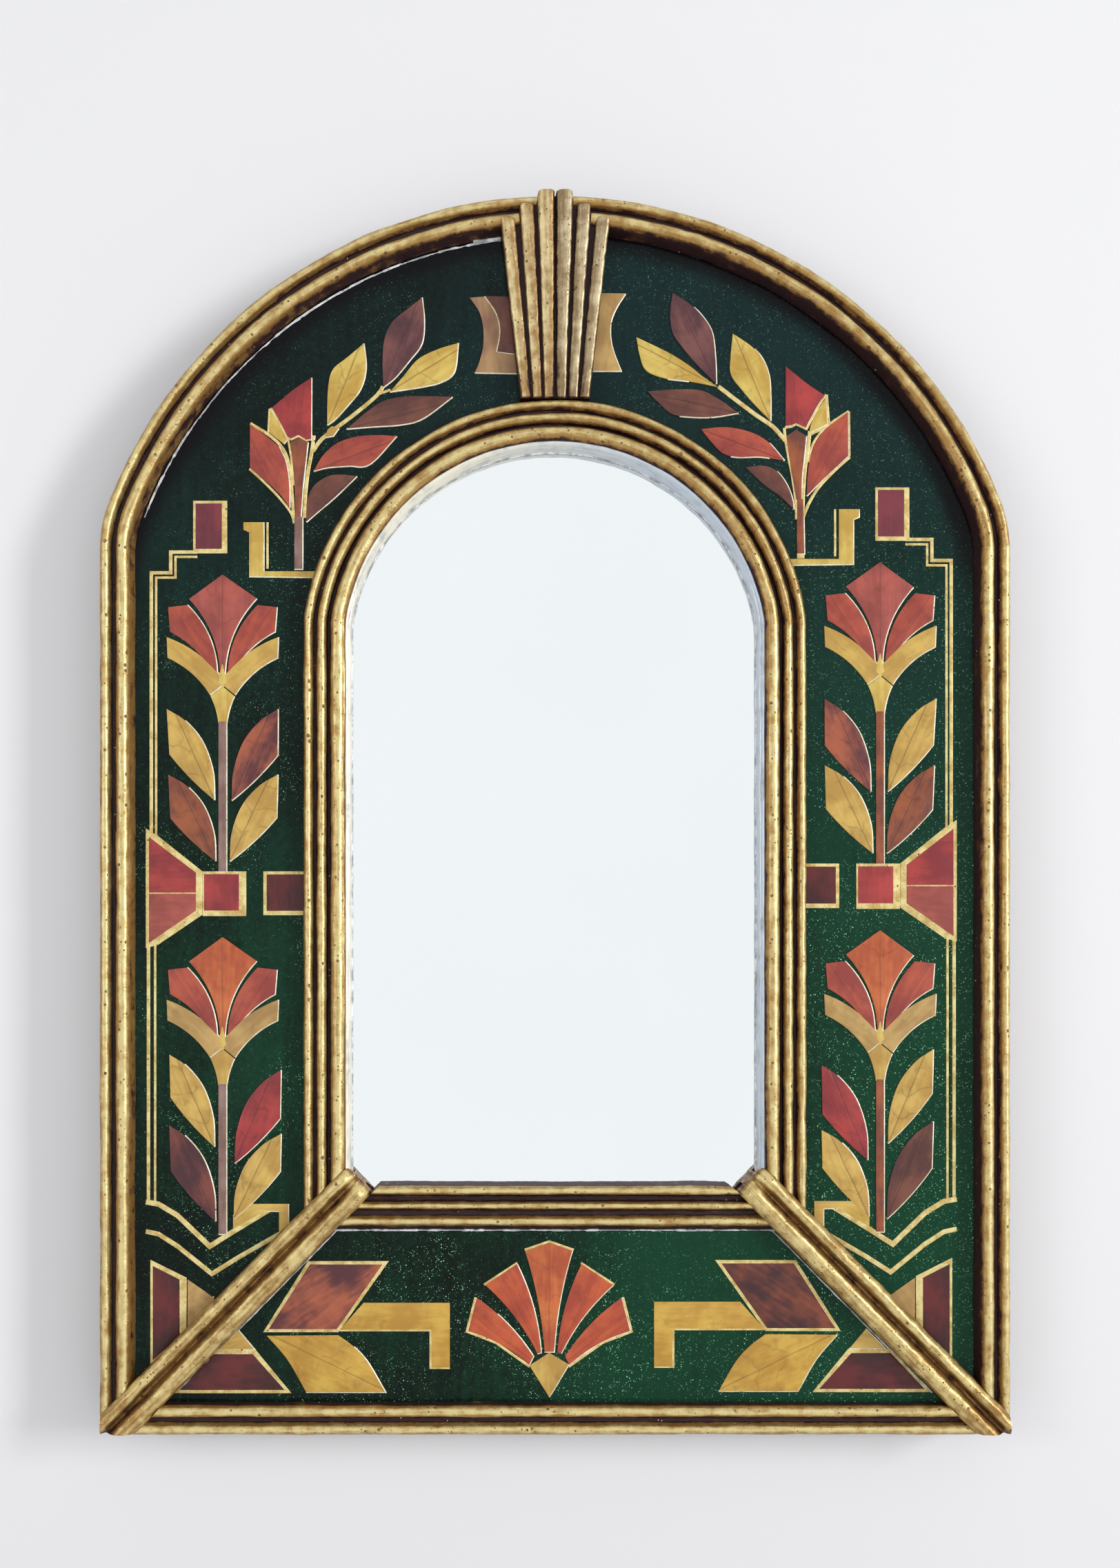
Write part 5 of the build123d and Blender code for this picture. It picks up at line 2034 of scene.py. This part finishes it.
@dataclass
class Seams:
    """Thin beads of pale resin where the panels meet the mouldings."""

    resin: Material
    keystone_angle: float = math.radians(7.5)
    angles: tuple[float, ...] = tuple(math.pi * at / 6 for at in range(7))    # round a bead
    sunk: float = 0.05 * MM            # how deep a bead's foot lies in its panel
    ring_step: float = 0.9 * MM

    def bead(self, start: Flat, end: Flat, width: float, rise: float) -> Piece:
        """Run a straight bead.

        Args:
            start: Its start, in millimetres from the centre line and above the foot.
            end: Its end.
            width: Its width, in millimetres.
            rise: Its height, in millimetres.

        Returns:
            The bead.
        """
        foot = Vector((start[0] * MM, PANEL_FRONT, FOOT_Z + start[1] * MM))
        reach = Vector(((end[0] - start[0]) * MM, 0, (end[1] - start[1]) * MM))
        across = Vector((-reach.z, 0, reach.x)).normalized()
        points = [foot + across * (math.cos(angle) * width / 2 * MM)
                  - Vector((0, math.sin(angle) * rise * MM - self.sunk, 0)) for angle in self.angles]
        bench = Bench("seam", points)
        steps = max(3, round(reach.length / self.ring_step))
        bench.pull(reach / steps, steps)
        bench.lay_run(lambda point: (point.x + point.z, 0.0, 1.0))
        bench.relief((6 * MM, 0.5 * MM), (2.0 * MM, 0.3 * MM))
        return bench.done()

    def arch_bead(self, width: float = 1.3 * MM, rise: float = 0.9 * MM) -> Piece:
        """Run a bead under the left half of the outer arch, from the keystone to the shoulder.

        Args:
            width: Its width.
            rise: Its height.

        Returns:
            The bead.
        """
        line = OUTER.inset(13.3 * MM)
        points = []
        for angle in self.angles:
            reach = line.radius - math.cos(angle) * width / 2
            points.append((-reach * math.sin(self.keystone_angle),
                           PANEL_FRONT - math.sin(angle) * rise + self.sunk,
                           line.centre + reach * math.cos(self.keystone_angle)))
        bench = Bench("seam", points)
        sweep = QUARTER - line.shoulder_angle - self.keystone_angle
        bench.turn((0, line.centre), sweep, round(line.radius * sweep / self.ring_step))
        bench.lay_run(lambda point: (point.x + point.z, 0.0, 1.0))
        bench.relief((9 * MM, 0.9 * MM), (2.0 * MM, 0.3 * MM))
        return bench.done()

    def build(self) -> None:
        """Model and dress the beads."""
        pieces = [self.bead((-82.5, 74.6), (82.5, 74.6), 0.9, 0.5), self.arch_bead(),
                  self.bead((-19.8, 440.9), (-30.0, 439.8), 2.4, 1.5)]
        for side in (-1, 1):
            pieces.append(self.bead((side * 139.6, 14.6), (side * 80.4, 74.6), 1.2, 0.9))
        dress(joined(pieces, "pale_seams"), self.resin, "border_lacquer")


@dataclass
class Stage:
    """Wall, floor, lamps and camera."""

    height_seen: float = 574.9 * MM    # at the plane that the camera is set for
    centre: Flat = (1.8 * MM, -176.1 * MM)
    distance: float = 0.60             # of the camera from that plane
    plane: float = -0.025
    camera_shift: Flat = (0.060, 0.130)
    wall_colour: str = "f0f0f2"
    seen_white: str = "fbfdff"
    even_light: tuple[float, ...] = (0.985, 0.99, 1.0, 1.0)
    even_strength: float = 0.45
    aim: tuple[float, ...] = (0.0, -0.02, -0.18)       # where the lamps point

    def matt(self, g: Graph) -> Socket:
        """Make the matt paint of the wall and the floor."""
        return g.node("ShaderNodeBsdfDiffuse", None, {0: paint(self.wall_colour)}).outputs[0]

    def wall_paint(self) -> Material:
        """Make a matt paint that only a camera in front of it sees.

        Returns:
            The material.
        """
        g = Graph.named("stage_wall")
        behind = Value(g, g.node("ShaderNodeNewGeometry").outputs["Backfacing"])
        clear = g.node("ShaderNodeBsdfTransparent").outputs[0]
        return g.close(g.mix(g.ray("Is Camera Ray") - behind, clear, self.matt(g)))

    def floor_paint(self) -> Material:
        """Make a matt paint that is plain white in reflections.

        Returns:
            The material.
        """
        g = Graph.named("stage_floor")
        glow = g.node("ShaderNodeEmission", None, {0: paint(self.seen_white)}).outputs[0]
        return g.close(g.mix(g.ray("Is Glossy Ray"), self.matt(g), glow))

    def backdrop(self) -> None:
        """Stand a pale wall behind the object and lay a plain pale floor under it."""
        for name, size, place, tilt, material in (
                ("stage_wall", 6, (0, 0.0005, 0), QUARTER, self.wall_paint()),
                ("stage_floor", 8, (0, 0, FOOT_Z - 0.075), 0.0, self.floor_paint())):
            bpy.ops.object.select_all(action="DESELECT")
            bpy.ops.mesh.primitive_plane_add(size=size, location=place, rotation=(tilt, 0, 0))
            plane = bpy.context.object
            plane.name = name
            plane.data.materials.append(material)

    def world(self) -> None:
        """Light the scene evenly from a pale world that is white to the camera and to gloss."""
        world = bpy.data.worlds.new("studio")
        bpy.context.scene.world = world
        g = Graph(world)
        even = g.node("ShaderNodeBackground", None, {0: self.even_light, 1: self.even_strength})
        white = g.node("ShaderNodeBackground", None, {0: paint(self.seen_white), 1: 1.0})
        seen = g.ray("Is Camera Ray").larger(g.ray("Is Glossy Ray"))
        g.close(g.mix(seen, even.outputs[0], white.outputs[0]), "ShaderNodeOutputWorld")

    def lamp(self, name: str, place: Sequence[float], size: Flat, power: float,
             in_gloss: bool = True) -> None:
        """Hang an area lamp that faces the middle of the object.

        Args:
            name: Name of the lamp.
            place: Where it hangs, in metres.
            size: Its width and height, in metres.
            power: Its power, in watts.
            in_gloss: Whether glossy surfaces reflect it.
        """
        light = bpy.data.lights.new(name, "AREA")
        light.shape, light.size, light.size_y, light.energy = "RECTANGLE", size[0], size[1], power
        holder = bpy.data.objects.new(name, light)
        bpy.context.scene.collection.objects.link(holder)
        holder.location = place
        holder.visible_glossy = in_gloss
        reach = Vector(self.aim) - Vector(place)
        holder.rotation_euler = reach.to_track_quat("-Z", "Y").to_euler()

    def camera(self) -> None:
        """Stand the camera a little low and left, with its back parallel to the wall."""
        data = bpy.data.cameras.new("camera")
        holder = bpy.data.objects.new("camera", data)
        bpy.context.scene.collection.objects.link(holder)
        data.sensor_width = 36.0
        data.lens = data.sensor_width * self.distance / self.height_seen
        data.shift_x, data.shift_y = self.camera_shift
        holder.location = (self.centre[0] - data.shift_x * self.height_seen,
                           self.plane - self.distance,
                           self.centre[1] - data.shift_y * self.height_seen)
        holder.rotation_euler = (QUARTER, 0, 0)
        bpy.context.scene.camera = holder

    def build(self) -> None:
        """Set the stage."""
        bpy.context.scene.view_settings.view_transform = "Standard"
        self.backdrop()
        self.world()
        self.lamp("key", (2.60, -1.90, 0.36), (0.55, 1.2), 48.0)
        self.lamp("fill", (-1.3, -1.3, 0.04), (0.6, 0.5), 3.0)
        self.lamp("low", (-0.05, -0.95, -0.24), (2.4, 0.34), 2.9, in_gloss=False)
        self.camera()


def dress_nodes(finishes: dict[str, Material]) -> None:
    """Give the CAD nodes that stay in view their materials.

    Args:
        finishes: Material of each node, by name.
    """
    for name, material in finishes.items():
        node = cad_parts[name]
        node.data.materials.clear()
        node.data.materials.append(material)


def main() -> None:
    """Build the mirror's pieces in order."""
    logging.basicConfig(level=logging.INFO, format="%(message)s")
    leaf = GoldLeaf("gold_leaf").make()
    Mouldings(OUTER, OUTER_SECTION, OUTER_RAIL, "outer", leaf).build()
    Mouldings(INNER, INNER_SECTION, INNER_RAIL, "inner", leaf).build()
    CornerBattens(GoldLeaf("batten_gold_leaf", pale="dfca8b", deep="97723c", hold=0.04).make()).build()
    # the keystone's flutes take a warm and a cool copy of one gold leaf, painted light and shade for the two
    # sides
    Keystone(bole=GoldLeaf("dark_bole", hold=-0.35, metal=0.3).make(),
             warm=GoldLeaf("warm_gold_leaf", pale="e3cf9b", deep="a07d4c", hold=0.04).make(),
             cool=GoldLeaf("cool_gold_leaf", pale="d2c19b", deep="8c7552", hold=0.04).make()).build()
    resin = Resin().make()
    Recess(SilverPaint().make(), resin).build()
    # the third material paints highlights along the shapes' lit edges
    Inlay(InlayVeneer().make(), InlayLine("inlay_line").make(),
          InlayLine("inlay_highlight", pale="f4efdc", deep="d3c59c").make()).build()
    Seams(resin).build()
    lacquer = GlitterLacquer().make()
    steel = PlatedSteel("zinc_plate").make()
    dress_nodes({
        "back_board": StainedWood().make(),
        "mirror_glass": MirrorGlass().make(),
        **{f"border_panel_{side}": lacquer for side in ("left", "right", "bottom")},
        "hanger_strap": steel,
        "hanger_ring": PlatedSteel("bright_zinc_plate", bright="dcdcd8", dull="a5a39c").make(),
        "moulding_screws": PlatedSteel("screw_steel", bright="bdb7a6", dull="77715f").make(),
        "hanger_screws": steel,
        "wall_bumpers": Rubber().make()})
    Stage().build()
    bpy.context.view_layer.update()


if __name__ == "__main__":
    main()
